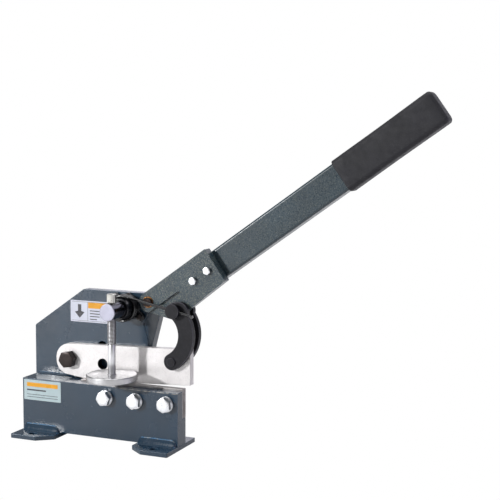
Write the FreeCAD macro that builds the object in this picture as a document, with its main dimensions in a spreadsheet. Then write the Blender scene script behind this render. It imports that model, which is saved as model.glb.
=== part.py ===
import FreeCAD, Part
import math
import os
import Sketcher

# Hand lever plate shear, 5 inch class, lengths in millimetres.
# +X runs along the blades from the blade pivot to the lever, +Y from the operator's side
# to the back, +Z up.  Pieces are drawn from the left end of the base, its front face and
# the bench, then set down with the middle between the two bench bolts at the origin.

Vector = FreeCAD.Vector
Rotation = FreeCAD.Rotation
Placement = FreeCAD.Placement

doc = FreeCAD.newDocument("metal_shear")

# ----------------------------------------------------------------- driving dimensions

DIMENSIONS = (
    ("base_left", -1.2, "X of the left end of the base"),
    ("base_right", 200.0, "X of the right end of the base"),
    ("base_depth", 20.5, "thickness of the front plate; its back is the shear plane"),
    ("base_top", 65.5, "height of the top of the base above the bench"),
    ("slot_width", 9.5, "slot between front plate and side plate for the moving blade"),
    ("side_thickness", 12.0, "thickness of the side plate"),
    ("side_top", 169.5, "height of the top edge of the side plate"),
    ("relief_depth", 1.0, "shallow relief in the side plate beside the links"),
    ("foot_thickness", 5.0, "thickness of the feet"),
    ("foot_width", 50.6, "width of each foot along X"),
    ("foot_front", 26.0, "how far the feet reach in front of the base"),
    ("foot_rear", 45.0, "how far the feet reach behind the front face"),
    ("foot_chamfer", 17.6, "chamfer on the inner front corner of each foot, along X"),
    ("foot_chamfer_depth", 13.8, "the same chamfer, along Y"),
    ("bench_bolts_middle", 100.0, "X midway between the bench bolts"),
    ("bench_bolt_spacing", 156.2, "spacing of the bench bolts"),
    ("foot_hole_forward", 15.0, "bench bolt hole, in front of the front plate"),
    ("foot_hole_radius", 4.5, "radius of the bench bolt holes"),
    ("blade_length", 130.0, "length of the lower blade"),
    ("blade_stock", 8.5, "thickness of the lower blade"),
    ("blade_height", 33.0, "height of the lower blade"),
    ("blade_proud", 2.0, "height of the lower blade above the base"),
    ("blade_thickness", 9.0, "thickness of the upper blade"),
    ("shear_gap", 0.2, "gap between the faces of the two blades"),
    ("blade_bolt_spacing", 38.0, "spacing of the three lower blade bolts"),
    ("blade_bolt_first", 109.6, "X of the first lower blade bolt"),
    ("blade_bolt_level", 52.2, "height of the lower blade bolts"),
    ("blade_bolt_radius", 5.0, "shank radius of the lower blade bolts"),
    ("blade_bolt_flats", 15.0, "width across flats of the lower blade bolts"),
    ("blade_bolt_washer", 9.0, "radius of the washers under those bolts"),
    ("blade_pivot_x", 49.8, "X of the upper blade's pivot"),
    ("blade_pivot_z", 88.2, "height of the upper blade's pivot"),
    ("blade_pivot_radius", 6.0, "shank radius of the blade pivot bolt"),
    ("blade_bush_radius", 8.0, "outer radius of the blade's bush"),
    ("bar_hole_radius", 6.4, "radius of the round bar cutter's hole"),
    ("lever_pivot_x", 154.5, "X of the lever's pivot"),
    ("lever_pivot_z", 161.8, "height of the lever's pivot"),
    ("lever_angle", 35.5, "slope of the lever at rest, in degrees"),
    ("lever_plate_length", 93.0, "lever plate, from its pivot to its square end"),
    ("lever_plate_thickness", 12.1, "thickness of the lever plate"),
    ("lever_step", 3.1, "depth of the step where the front link lies"),
    ("lever_pin_radius", 4.5, "shank radius of the lever pivot bolt"),
    ("lever_bush_radius", 5.7, "outer radius of the lever's bush"),
    ("tube_height", 33.0, "height of the lever tube's section"),
    ("tube_depth", 20.0, "depth of the lever tube's section"),
    ("tube_wall", 2.0, "wall of the lever tube"),
    ("tube_start", 46.0, "start of the tube, from the lever pivot"),
    ("lever_length", 388.0, "length of the lever, from its pivot to the grip's end"),
    ("grip_length", 126.0, "length of the grip"),
    ("grip_wall", 2.5, "wall of the grip"),
    ("link_thickness", 6.0, "thickness of the curved links"),
    ("link_half_width", 9.4, "half the width of the curved links"),
    ("link_bow", 15.8, "how far the middle of a link stands off the line of its pins"),
    ("link_gap", 0.3, "gap between the links and the parts between them"),
    ("upper_pin_x", 188.5, "X of the upper link pin"),
    ("upper_pin_z", 154.5, "height of the upper link pin"),
    ("upper_pin_radius", 5.0, "shank radius of the upper link pin"),
    ("upper_pin_head", 8.3, "head radius of the upper link pin"),
    ("lower_pin_x", 184.9, "X of the lower link pin"),
    ("lower_pin_z", 96.6, "height of the lower link pin"),
    ("lower_pin_radius", 4.3, "shank radius of the lower link pin"),
    ("running_gap", 0.1, "radial clearance of the turning fits"),
    ("rod_x", 123.5, "X of the hold-down's cross bar and rod"),
    ("cross_bar_z", 153.0, "height of the hold-down's cross bar"),
    ("cross_bar_radius", 9.6, "radius of the cross bar"),
    ("cross_bar_front", 20.5, "how far the cross bar reaches in front of the base"),
    ("rod_forward", 10.0, "distance of the rod in front of the base"),
    ("rod_radius", 5.0, "radius of the threaded stretch of the rod"),
    ("rod_plain_radius", 4.2, "radius of the plain stretch of the rod"),
    ("rod_thread_start", 116.0, "height where the rod's thread starts"),
    ("rod_top", 172.4, "height of the top of the rod's knob"),
    ("knob_radius", 5.3, "radius of the rod's knob"),
    ("knob_spigot_radius", 3.4, "radius of the rod's end inside the knob"),
    ("disc_radius", 28.5, "radius of the hold-down's foot"),
    ("disc_thickness", 7.3, "thickness of the hold-down's foot"),
    ("disc_bottom", 75.5, "height of the underside of the hold-down's foot"),
    ("boss_radius", 12.0, "outer radius of the bracket's boss"),
    ("flange_thickness", 4.0, "thickness of the bracket's flange"),
    ("spring_wire_radius", 1.5, "radius of the return spring's wire"),
    ("spring_pitch", 3.3, "distance between the spring's turns"),
    ("label_thickness", 0.3, "thickness of the two labels"),
)

sheet = doc.addObject("Spreadsheet::Sheet", "dims")
for row, (alias, value, note) in enumerate(DIMENSIONS, start=1):
    sheet.set("A%d" % row, alias)
    sheet.set("B%d" % row, str(value))
    sheet.set("C%d" % row, note)
    sheet.setAlias("B%d" % row, alias)
doc.recompute()


def dim(alias):
    """Value of one cell of the sheet."""
    return float(sheet.get(alias))


# ----------------------------------------------------------------- places worked out from them

SIDE_FRONT = dim("base_depth") + dim("slot_width")
SIDE_BACK = SIDE_FRONT + dim("side_thickness")
BLADE_FRONT = dim("base_depth") + dim("shear_gap")
BLADE_BACK = BLADE_FRONT + dim("blade_thickness")
LOWER_BLADE_FRONT = dim("base_depth") - dim("blade_stock")
LOWER_BLADE_TOP = dim("base_top") + dim("blade_proud")
LOWER_BLADE_BOTTOM = LOWER_BLADE_TOP - dim("blade_height")
LOWER_BLADE_LEFT = dim("base_right") - dim("blade_length")
LEVER_FRONT = BLADE_BACK - dim("lever_plate_thickness")
LINK_FRONT = BLADE_FRONT - dim("link_gap") - dim("link_thickness")
LINK_BACK = BLADE_BACK + dim("link_gap")
BLADE_PIVOT = (dim("blade_pivot_x"), dim("blade_pivot_z"))
LEVER_PIVOT = (dim("lever_pivot_x"), dim("lever_pivot_z"))
UPPER_PIN = (dim("upper_pin_x"), dim("upper_pin_z"))
LOWER_PIN = (dim("lower_pin_x"), dim("lower_pin_z"))
SPRING_AXIS = (dim("rod_x"), dim("cross_bar_z"))
FLANGE_FRONT = SIDE_FRONT - dim("flange_thickness")
WIRE_LEVEL = 12.3
SPRING_RADIUS = dim("boss_radius") + dim("spring_wire_radius") + 0.7
TUBE_CENTRE = -9.9
LEVER_BOLTS = (61.0, 82.0)
LEVER_BOLT_DROP = -10.5
LEVER_BOLT_RADIUS = 2.5
HOLE_PLAY = 0.2
BRACKET_EARS = (
    {"centre": (15.8, -10.4), "lobe": 4.9, "head": 2.9, "shank": 1.75},
    {"centre": (-15.8, 10.4), "lobe": 4.9, "head": 2.9, "shank": 1.75},
    {"centre": (0.5, 13.9), "lobe": 2.6, "head": 1.75, "shank": 1.25},
)
BRACKET_SCREW_DEPTH = 8.0
BAR_HOLE = (93.8, 85.4)
BAR_SLOT = ((93.4, 95.0), (88.4, 103.8))
BAR_SLOT_DEPTH = 9.0
BAR_HOLE_REAR = 5.5

to_lever = Placement(
    Vector(LEVER_PIVOT[0], 0, LEVER_PIVOT[1]),
    Rotation(Vector(0, 1, 0), -dim("lever_angle")),
)


def lever_local(point):
    """Turns a place (x, z) at rest into (along, across) of the lever."""
    local = to_lever.inverse().multVec(Vector(point[0], 0, point[1]))
    return (local.x, local.z)


# ----------------------------------------------------------------- helpers for bodies

ROLES = {"XY": "XY_Plane", "XZ": "XZ_Plane", "YZ": "YZ_Plane"}


def new_body(label):
    body = doc.addObject("PartDesign::Body", label)
    body.Label = label
    return body


def new_sketch(body, plane, name, offset=0.0):
    """A sketch on one origin plane of its own body, moved along that plane's normal."""
    sketch = body.newObject("Sketcher::SketchObject", name)
    for feature in body.Origin.OriginFeatures:
        if feature.Role == ROLES[plane]:
            sketch.AttachmentSupport = [(feature, "")]
    sketch.MapMode = "FlatFace"
    sketch.AttachmentOffset = Placement(Vector(0, 0, offset), Rotation())
    return sketch


def draw_outline(sketch, corners):
    """Closed outline of (x, y) or (x, y, radius) corners, joined by lines and tangent arcs."""
    stops = []
    for index, corner in enumerate(corners):
        here = Vector(corner[0], corner[1], 0)
        before = Vector(*corners[index - 1][:2], 0)
        after = Vector(*corners[(index + 1) % len(corners)][:2], 0)
        if len(corner) == 2:
            stops.append((here, here, None, None, None))
            continue
        radius = corner[2]
        way_in = (before - here).normalize()
        way_out = (after - here).normalize()
        half = way_in.getAngle(way_out) / 2
        reach = radius / math.tan(half)
        start = here + way_in * reach
        end = here + way_out * reach
        centre = here + (way_in + way_out).normalize() * (radius / math.sin(half))
        middle = centre + (here - centre).normalize() * radius
        stops.append((start, end, middle, centre, radius))
    for index, stop in enumerate(stops):
        start, end, middle = stop[:3]
        if middle is not None:
            sketch.addGeometry(Part.Arc(start, middle, end))
        following = stops[(index + 1) % len(stops)][0]
        if (following - end).Length > 1e-6:
            sketch.addGeometry(Part.LineSegment(end, following))


def draw_circle(sketch, centre, radius, size=None):
    """A circle whose radius is bound to a cell, or to a sum of cells, where size is given."""
    index = sketch.addGeometry(Part.Circle(Vector(centre[0], centre[1], 0), Vector(0, 0, 1), radius))
    if size:
        constraint = sketch.addConstraint(Sketcher.Constraint("Radius", index, radius))
        sketch.setExpression("Constraints[%d]" % constraint, size)


def draw_slot(sketch, first, second, radius):
    """A round-ended slot between two centres."""
    start = Vector(first[0], first[1], 0)
    end = Vector(second[0], second[1], 0)
    along = (end - start).normalize()
    side = Vector(-along.y, along.x, 0) * radius
    sketch.addGeometry(Part.LineSegment(start + side, end + side))
    sketch.addGeometry(Part.Arc(end + side, end + along * radius, end - side))
    sketch.addGeometry(Part.LineSegment(end - side, start - side))
    sketch.addGeometry(Part.Arc(start - side, start - along * radius, start + side))


def pad(body, sketch, size, name, reverse=False):
    feature = body.newObject("PartDesign::Pad", name)
    feature.Profile = sketch
    feature.setExpression("Length", size)
    feature.Reversed = reverse
    doc.recompute()
    return feature


def pocket(body, sketch, name, size=None, reverse=False):
    """A pocket of a bound depth, or right through; stops if it removes nothing."""
    before = body.Shape.Volume
    feature = body.newObject("PartDesign::Pocket", name)
    feature.Profile = sketch
    if size:
        feature.setExpression("Length", size)
    else:
        feature.Type = "ThroughAll"
    feature.Reversed = reverse
    doc.recompute()
    if body.Shape.Volume > before - 0.1:
        raise RuntimeError("pocket %s of %s removes nothing" % (name, body.Label))
    return feature


def upright_plate(label, corners, thickness, front):
    """A plate standing in the XZ plane: outline, padded from its front face to the back."""
    body = new_body(label)
    sketch = new_sketch(body, "XZ", label + "_outline")
    draw_outline(sketch, corners)
    pad(body, sketch, thickness, label + "_pad", reverse=True)
    body.Placement = Placement(Vector(0, front, 0), Rotation())
    return body


def holes_through(body, holes, name):
    """Round holes right through an upright plate: (centre, radius, bound size)."""
    sketch = new_sketch(body, "XZ", name)
    for centre, radius, size in holes:
        draw_circle(sketch, centre, radius, size)
    pocket(body, sketch, name + "_pocket")


# ----------------------------------------------------------------- helpers for round parts

def along_y(centre, y):
    """Placement of a part whose own Z axis points to the back."""
    return Placement(Vector(centre[0], y, centre[1]), Rotation(Vector(1, 0, 0), -90))


def cylinder(name, radius, length, place):
    """A cylinder with both sizes bound; a number is written into the expression as it is."""
    part = doc.addObject("Part::Cylinder", name)
    part.setExpression("Radius", str(radius))
    part.setExpression("Height", str(length))
    part.Placement = place
    return part


def hexagon(name, flats, length, place):
    """A hexagonal prism, given its width across flats."""
    part = doc.addObject("Part::Prism", name)
    part.Polygon = 6
    part.setExpression("Circumradius", "(%s) / sqrt(3)" % flats)
    part.setExpression("Height", str(length))
    part.Placement = place
    return part


def fuse(label, parts):
    result = doc.addObject("Part::MultiFuse", label)
    result.Shapes = parts
    result.Label = label
    return result


def cut(label, base, tool):
    result = doc.addObject("Part::Cut", label)
    result.Base = base
    result.Tool = tool
    result.Label = label
    return result


def group(label, parts):
    """Separate solids that share one node."""
    result = doc.addObject("Part::Compound", label)
    result.Links = parts
    result.Label = label
    return result


def ring(label, outer, inner, length, place):
    """A washer or bush."""
    body = cylinder(label + "_body", outer, length, place)
    bore = cylinder(label + "_bore", inner, length, place)
    return cut(label, body, bore)


def hex_bolt(label, flats, head, radius, length, place):
    """Head in front, shank behind it; place is the middle of the head's front face."""
    head_part = hexagon(label + "_head", flats, head, place)
    shank_place = place * Placement(Vector(0, 0, head), Rotation())
    shank = cylinder(label + "_shank", radius, length, shank_place)
    return fuse(label, [head_part, shank])


def hex_nut(label, flats, height, radius, place):
    body = hexagon(label + "_body", flats, height, place)
    bore = cylinder(label + "_bore", radius, height, place)
    return cut(label, body, bore)


def bound_box(label, corner, sizes):
    """A box at a corner, with its three sizes bound."""
    part = doc.addObject("Part::Box", label)
    part.Label = label
    for name, size in zip(("Length", "Width", "Height"), sizes):
        part.setExpression(name, str(size))
    part.Placement = Placement(Vector(*corner), Rotation())
    return part


nodes = []
to_origin = Placement(
    Vector(-dim("bench_bolts_middle"), dim("foot_hole_forward"), 0), Rotation(),
)


def keep(part):
    """Takes a finished piece as a sub-part and sets it down about the model's origin."""
    part.Placement = to_origin * part.Placement
    nodes.append(part)


# ----------------------------------------------------------------- base and frame

def ear_centre(ear):
    """Place of one screw of the bracket, in the XZ plane."""
    return SPRING_AXIS[0] + ear["centre"][0], SPRING_AXIS[1] + ear["centre"][1]


def blade_bolt_centres():
    first = dim("blade_bolt_first")
    step = dim("blade_bolt_spacing")
    return [(first + step * count, dim("blade_bolt_level")) for count in range(3)]


def front_plate():
    """Thick plate with a rebate milled in its back for the lower blade."""
    bottom = dim("foot_thickness")
    top = dim("base_top")
    left = dim("base_left")
    right = dim("base_right")
    corners = ((left, bottom), (right, bottom), (right, top), (left, top))
    body = upright_plate("front_plate", corners, "dims.base_depth", 0)
    rebate = new_sketch(body, "XZ", "rebate", -dim("base_depth"))
    margin = 1.0
    rebate_left = LOWER_BLADE_LEFT - HOLE_PLAY
    draw_outline(rebate, (
        (rebate_left, LOWER_BLADE_BOTTOM, 1.5), (right + margin, LOWER_BLADE_BOTTOM),
        (right + margin, top + margin), (rebate_left, top + margin),
    ))
    pocket(body, rebate, "rebate_pocket", "dims.blade_stock", reverse=True)
    radius = dim("blade_bolt_radius") + HOLE_PLAY
    size = "dims.blade_bolt_radius + %s" % HOLE_PLAY
    holes_through(body, [(centre, radius, size) for centre in blade_bolt_centres()], "bolt_holes")
    keep(body)


def lower_blade():
    right = dim("base_right")
    corners = (
        (LOWER_BLADE_LEFT, LOWER_BLADE_BOTTOM, 2), (right, LOWER_BLADE_BOTTOM, 0.6),
        (right, LOWER_BLADE_TOP, 0.4), (LOWER_BLADE_LEFT, LOWER_BLADE_TOP, 0.4),
    )
    body = upright_plate("lower_blade", corners, "dims.blade_stock", LOWER_BLADE_FRONT)
    radius = dim("blade_bolt_radius")
    holes_through(
        body,
        [(centre, radius, "dims.blade_bolt_radius") for centre in blade_bolt_centres()],
        "thread_holes",
    )
    keep(body)


def lower_blade_fasteners():
    washer = 1.8
    head = 6.4
    bolts = []
    washers = []
    for count, centre in enumerate(blade_bolt_centres()):
        place = along_y(centre, -washer - head)
        bolts.append(hex_bolt(
            "blade_bolt_%d" % count, "dims.blade_bolt_flats", head, "dims.blade_bolt_radius",
            washer + dim("base_depth") - 1.5, place,
        ))
        washers.append(ring(
            "blade_washer_%d" % count, "dims.blade_bolt_washer", "dims.blade_bolt_radius",
            washer, along_y(centre, -washer),
        ))
    keep(group("lower_blade_bolts", bolts))
    keep(group("lower_blade_washers", washers))


def side_plate():
    """Tall C-shaped plate: the throat lets the cut sheet pass behind the blades."""
    bottom = dim("foot_thickness")
    top = dim("side_top")
    throat_floor = 60.0
    corners = (
        (-2.6, bottom), (184.0, bottom), (184.0, throat_floor, 2), (78.0, throat_floor, 5),
        (78.0, 72.0, 5), (149.6, 97.0, 3), (168.8, top, 2), (63.6, top, 3), (-2.6, 123.2, 3),
    )
    body = upright_plate("side_plate", corners, "dims.side_thickness", SIDE_FRONT)
    relief = new_sketch(body, "XZ", "relief")
    draw_outline(relief, (
        (151.2, 102.9), (141.8, 136.0, 3), (150.0, 150.0, 3), (170.0, 150.0), (160.0, 102.9),
    ))
    pocket(body, relief, "relief_pocket", "dims.relief_depth")
    slot = new_sketch(body, "XZ", "bar_slot")
    draw_slot(slot, BAR_SLOT[0], BAR_SLOT[1], dim("bar_hole_radius"))
    pocket(body, slot, "bar_slot_pocket", str(BAR_SLOT_DEPTH))
    holes_through(body, (
        (BAR_SLOT[0], BAR_HOLE_REAR, None),
        (BLADE_PIVOT, dim("blade_pivot_radius"), "dims.blade_pivot_radius"),
        (LEVER_PIVOT, dim("lever_pin_radius"), "dims.lever_pin_radius"),
    ), "pivot_holes")
    screws = new_sketch(body, "XZ", "bracket_screw_holes")
    for ear in BRACKET_EARS:
        draw_circle(screws, ear_centre(ear), ear["shank"])
    pocket(body, screws, "bracket_screw_pocket", str(BRACKET_SCREW_DEPTH))
    keep(body)


def spacer_blocks():
    """Blocks that hold the front plate and the side plate apart."""
    bottom = dim("foot_thickness")
    left = bound_box(
        "pivot_spacer_block", (dim("base_left"), dim("base_depth"), bottom),
        ("64 - dims.base_left", "dims.slot_width", "dims.base_top - dims.foot_thickness"),
    )
    low = bound_box(
        "lower_spacer_bar", (64, dim("base_depth"), bottom), (116, "dims.slot_width", 26),
    )
    keep(left)
    keep(low)


def foot(label, outer, inward):
    """A foot plate under one end of the base; inward is +1 for the left foot, -1 for the right."""
    body = new_body(label)
    sketch = new_sketch(body, "XY", label + "_outline")
    inner = outer + inward * dim("foot_width")
    front = -dim("foot_front")
    chamfer_start = inner - inward * dim("foot_chamfer")
    draw_outline(sketch, (
        (outer, front, 1.5), (chamfer_start, front, 2), (inner, front + dim("foot_chamfer_depth"), 2),
        (inner, dim("foot_rear"), 1), (outer, dim("foot_rear"), 1),
    ))
    pad(body, sketch, "dims.foot_thickness", label + "_pad")
    hole = new_sketch(body, "XY", label + "_hole")
    hole_x = dim("bench_bolts_middle") - inward * dim("bench_bolt_spacing") / 2
    centre = (hole_x, -dim("foot_hole_forward"))
    draw_circle(hole, centre, dim("foot_hole_radius"), "dims.foot_hole_radius")
    pocket(body, hole, label + "_hole_pocket", reverse=True)
    keep(body)


def bead(name, start, length, legs):
    """A triangular weld bead along X; legs are its reach in Y and in Z from the corner."""
    corner = Vector(*start)
    section = Part.makePolygon([
        corner, corner + Vector(0, legs[0], 0), corner + Vector(0, 0, legs[1]), corner,
    ])
    part = doc.addObject("Part::Feature", name)
    part.Shape = Part.Face(section).extrude(Vector(length, 0, 0))
    return part


def weld_beads():
    bottom = dim("foot_thickness")
    length = dim("foot_width") - 3
    left = dim("base_left") + 1.5
    right = dim("base_right") - dim("foot_width") + 1.5
    front = [
        bead("front_bead_left", (left, 0, bottom), length, (-6.5, 8.0)),
        bead("front_bead_right", (right, 0, bottom), length, (-6.5, 8.0)),
    ]
    rear = [
        bead("rear_bead_left", (left, SIDE_BACK, bottom), length, (2.6, 4.0)),
        bead("rear_bead_right", (right, SIDE_BACK, bottom), 31.0, (2.6, 4.0)),
    ]
    keep(group("front_weld_beads", front))
    keep(group("rear_weld_beads", rear))
    keep(group("side_plate_weld_bead", [
        bead("top_bead", (0.5, SIDE_FRONT, dim("base_top")), 50.0, (-2.2, 2.2)),
    ]))


# ----------------------------------------------------------------- upper blade

def upper_blade():
    body = upright_plate("upper_blade", (
        (31.9, 105.0, 16.6), (205.3, 111.2, 0.8), (205.3, 70.5, 0.6),
        (86.0, 64.6, 3), (31.9, 71.4, 16.6),
    ), "dims.blade_thickness", BLADE_FRONT)
    holes_through(body, (
        (BLADE_PIVOT, dim("blade_bush_radius"), "dims.blade_bush_radius"),
        (BAR_HOLE, dim("bar_hole_radius"), "dims.bar_hole_radius"),
    ), "blade_holes")
    slot = new_sketch(body, "XZ", "pin_slot")
    level = LOWER_PIN[1]
    draw_slot(slot, (LOWER_PIN[0] - 3.0, level), (LOWER_PIN[0] + 1.2, level), dim("lower_pin_radius") + 0.65)
    pocket(body, slot, "pin_slot_pocket")
    keep(body)


def blade_pivot():
    """Shoulder bolt through the blade's bush and the side plate, with washer and nut behind."""
    head = 8.6
    flats = 17.6
    washer = 2.5
    nut = 10.0
    head_back = BLADE_FRONT - 0.3
    keep(hex_bolt(
        "blade_pivot_bolt", flats, head, "dims.blade_pivot_radius",
        SIDE_BACK + washer + nut + 2 - head_back, along_y(BLADE_PIVOT, head_back - head),
    ))
    keep(ring(
        "blade_pivot_bush", "dims.blade_bush_radius", "dims.blade_pivot_radius + 0.05",
        "dims.blade_thickness", along_y(BLADE_PIVOT, BLADE_FRONT),
    ))
    keep(ring(
        "blade_pivot_washer", 12, "dims.blade_pivot_radius", washer,
        along_y(BLADE_PIVOT, SIDE_BACK),
    ))
    keep(hex_nut(
        "blade_pivot_nut", flats, nut, "dims.blade_pivot_radius",
        along_y(BLADE_PIVOT, SIDE_BACK + washer),
    ))


# ----------------------------------------------------------------- lever

def lever_plate():
    """Thick arm in the plane of the blade, with a stepped-down zone for the front link."""
    end = dim("lever_plate_length")
    body = upright_plate("lever_plate", (
        (-10.8, 10.8, 10.2), (end, 10.8, 1.2), (end, -31.0, 1.2), (38.0, -33.5, 6),
        (16.0, -35.5, 8), (-10.8, -5.5, 4),
    ), "dims.lever_plate_thickness", 0)
    step = new_sketch(body, "XZ", "step")
    step_line = -9.8
    draw_outline(step, (
        (-20.0, step_line), (38.0, step_line, 3), (71.2, step_line - 33.2), (-20.0, step_line - 33.2),
    ))
    pocket(body, step, "step_pocket", "dims.lever_step")
    bolt_radius = LEVER_BOLT_RADIUS + HOLE_PLAY
    pin_size = "dims.upper_pin_radius + dims.running_gap"
    holes = [
        ((0, 0), dim("lever_bush_radius"), "dims.lever_bush_radius"),
        (lever_local(UPPER_PIN), dim("upper_pin_radius") + dim("running_gap"), pin_size),
    ]
    holes += [((along, LEVER_BOLT_DROP), bolt_radius, None) for along in LEVER_BOLTS]
    holes_through(body, holes, "lever_plate_holes")
    body.Placement = to_lever * Placement(Vector(0, LEVER_FRONT, 0), Rotation())
    keep(body)


def draw_rounded_section(sketch, height, depth, radius):
    """A rounded rectangle about the tube's centre line; its first axis runs to the back."""
    middle_y = dim("tube_depth") / 2
    draw_outline(sketch, (
        (middle_y - depth / 2, TUBE_CENTRE - height / 2, radius),
        (middle_y + depth / 2, TUBE_CENTRE - height / 2, radius),
        (middle_y + depth / 2, TUBE_CENTRE + height / 2, radius),
        (middle_y - depth / 2, TUBE_CENTRE + height / 2, radius),
    ))


def lever_tube():
    """Rectangular tube bolted behind the lever plate."""
    body = new_body("lever_tube")
    wall = dim("tube_wall")
    start = dim("tube_start")
    outer = new_sketch(body, "YZ", "tube_outer", start)
    draw_rounded_section(outer, dim("tube_height"), dim("tube_depth"), 3.0)
    pad(body, outer, "dims.lever_length - dims.tube_start - 4", "tube_pad")
    inner = new_sketch(body, "YZ", "tube_inner", start)
    draw_rounded_section(inner, dim("tube_height") - 2 * wall, dim("tube_depth") - 2 * wall, 1.2)
    pocket(body, inner, "tube_bore", reverse=True)
    radius = LEVER_BOLT_RADIUS + HOLE_PLAY
    holes_through(
        body, [((along, LEVER_BOLT_DROP), radius, None) for along in LEVER_BOLTS], "tube_bolt_holes",
    )
    body.Placement = to_lever * Placement(Vector(0, BLADE_BACK, 0), Rotation())
    keep(body)


def grip():
    """Soft sleeve with a closed end, pulled over the tube."""
    body = new_body("grip")
    wall = dim("grip_wall")
    start = dim("lever_length") - dim("grip_length")
    outer = new_sketch(body, "YZ", "grip_outer", start)
    draw_rounded_section(outer, dim("tube_height") + 2 * wall, dim("tube_depth") + 2 * wall, 5.5)
    pad(body, outer, "dims.grip_length", "grip_pad")
    inner = new_sketch(body, "YZ", "grip_inner", start)
    draw_rounded_section(inner, dim("tube_height"), dim("tube_depth"), 3.0)
    pocket(body, inner, "grip_bore", "dims.grip_length - 4", reverse=True)
    body.Placement = to_lever * Placement(Vector(0, BLADE_BACK, 0), Rotation())
    keep(body)


def lever_fasteners():
    """Two bolts clamp the tube to the lever plate, with washers and nuts at the back."""
    flats = 8
    head = 3.5
    washer = 1.4
    nut = 4.5
    back = BLADE_BACK + dim("tube_depth")
    bolts = []
    washers = []
    nuts = []
    for count, along in enumerate(LEVER_BOLTS):
        centre = (along, LEVER_BOLT_DROP)
        front = to_lever * along_y(centre, LEVER_FRONT - head)
        length = back + washer + nut + 1.5 - LEVER_FRONT
        bolts.append(hex_bolt("lever_bolt_%d" % count, flats, head, LEVER_BOLT_RADIUS, length, front))
        washers.append(ring(
            "lever_washer_%d" % count, 5.5, LEVER_BOLT_RADIUS, washer, to_lever * along_y(centre, back),
        ))
        nuts.append(hex_nut(
            "lever_nut_%d" % count, flats, nut, LEVER_BOLT_RADIUS,
            to_lever * along_y(centre, back + washer),
        ))
    keep(group("lever_bolts", bolts))
    keep(group("lever_bolt_washers", washers))
    keep(group("lever_bolt_nuts", nuts))


def lever_pivot():
    """Headed pivot bolt in a bronze bush, with washer and nut behind the side plate."""
    flange = 1.2
    head = 1.8
    washer = 2.0
    nut = 8.0
    flange_front = LEVER_FRONT - flange
    head_back = flange_front - 0.1
    bush_body = fuse("lever_bush_body", [
        cylinder("lever_bush_sleeve", "dims.lever_bush_radius", "dims.lever_plate_thickness",
                 along_y(LEVER_PIVOT, LEVER_FRONT)),
        cylinder("lever_bush_flange", 6.4, flange, along_y(LEVER_PIVOT, flange_front)),
    ])
    bush_bore = cylinder(
        "lever_bush_bore", "dims.lever_pin_radius + 0.05",
        dim("lever_plate_thickness") + flange, along_y(LEVER_PIVOT, flange_front),
    )
    keep(cut("lever_pivot_bush", bush_body, bush_bore))
    keep(fuse("lever_pivot_bolt", [
        cylinder("lever_pivot_head", 5.2, head, along_y(LEVER_PIVOT, head_back - head)),
        cylinder("lever_pivot_shank", "dims.lever_pin_radius",
                 SIDE_BACK + washer + nut + 2 - head_back, along_y(LEVER_PIVOT, head_back)),
    ]))
    keep(ring("lever_pivot_washer", 9, "dims.lever_pin_radius", washer, along_y(LEVER_PIVOT, SIDE_BACK)))
    keep(hex_nut(
        "lever_pivot_nut", 15, nut, "dims.lever_pin_radius", along_y(LEVER_PIVOT, SIDE_BACK + washer),
    ))


# ----------------------------------------------------------------- links and their pins

def draw_link(sketch):
    """A band of constant width along an arc through both pins, with round ends."""
    top = Vector(UPPER_PIN[0], UPPER_PIN[1], 0)
    low = Vector(LOWER_PIN[0], LOWER_PIN[1], 0)
    chord = top - low
    bow = dim("link_bow")
    half = dim("link_half_width")
    radius = (chord.Length ** 2 / 4 + bow ** 2) / (2 * bow)
    away = Vector(chord.y, -chord.x, 0).normalize()
    centre = (top + low) * 0.5 + away * (bow - radius)
    to_top = (top - centre).normalize()
    to_low = (low - centre).normalize()
    end_top = Vector(-to_top.y, to_top.x, 0)
    end_low = Vector(to_low.y, -to_low.x, 0)
    outer = radius + half
    inner = radius - half
    sketch.addGeometry(Part.Arc(centre + to_low * outer, centre + away * outer, centre + to_top * outer))
    sketch.addGeometry(Part.Arc(centre + to_top * outer, top + end_top * half, centre + to_top * inner))
    sketch.addGeometry(Part.Arc(centre + to_top * inner, centre + away * inner, centre + to_low * inner))
    sketch.addGeometry(Part.Arc(centre + to_low * inner, low + end_low * half, centre + to_low * outer))


def link(label, front):
    """A curved link with a broad shoulder at its upper eye."""
    body = new_body(label)
    band = new_sketch(body, "XZ", label + "_band")
    draw_link(band)
    pad(body, band, "dims.link_thickness", label + "_pad", reverse=True)
    shoulder = new_sketch(body, "XZ", label + "_shoulder")
    draw_circle(shoulder, (UPPER_PIN[0] + 5.5, UPPER_PIN[1] - 1.0), 11.0)
    pad(body, shoulder, "dims.link_thickness", label + "_shoulder_pad", reverse=True)
    upper = dim("upper_pin_radius") + dim("running_gap")
    holes_through(body, (
        (UPPER_PIN, upper, "dims.upper_pin_radius + dims.running_gap"),
        (LOWER_PIN, dim("lower_pin_radius"), "dims.lower_pin_radius"),
    ), label + "_eyes")
    body.Placement = Placement(Vector(0, front, 0), Rotation())
    keep(body)


def lower_link_pin():
    """Pin riveted into both links; it passes through the slot in the upper blade."""
    head = 1.6
    front = LINK_FRONT
    back = LINK_BACK + dim("link_thickness")
    keep(fuse("lower_link_pin", [
        cylinder("lower_pin_front_head", 4.9, head, along_y(LOWER_PIN, front - head)),
        cylinder("lower_pin_shank", "dims.lower_pin_radius", back - front, along_y(LOWER_PIN, front)),
        cylinder("lower_pin_back_head", 4.9, head, along_y(LOWER_PIN, back)),
    ]))


def wire_direction():
    """Slope of the spring's arm at rest, where it touches the coil and crosses the upper pin."""
    reach = Vector(UPPER_PIN[0] - SPRING_AXIS[0], UPPER_PIN[1] - SPRING_AXIS[1], 0)
    return math.atan2(reach.y, reach.x) - math.asin(SPRING_RADIUS / reach.Length)


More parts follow.
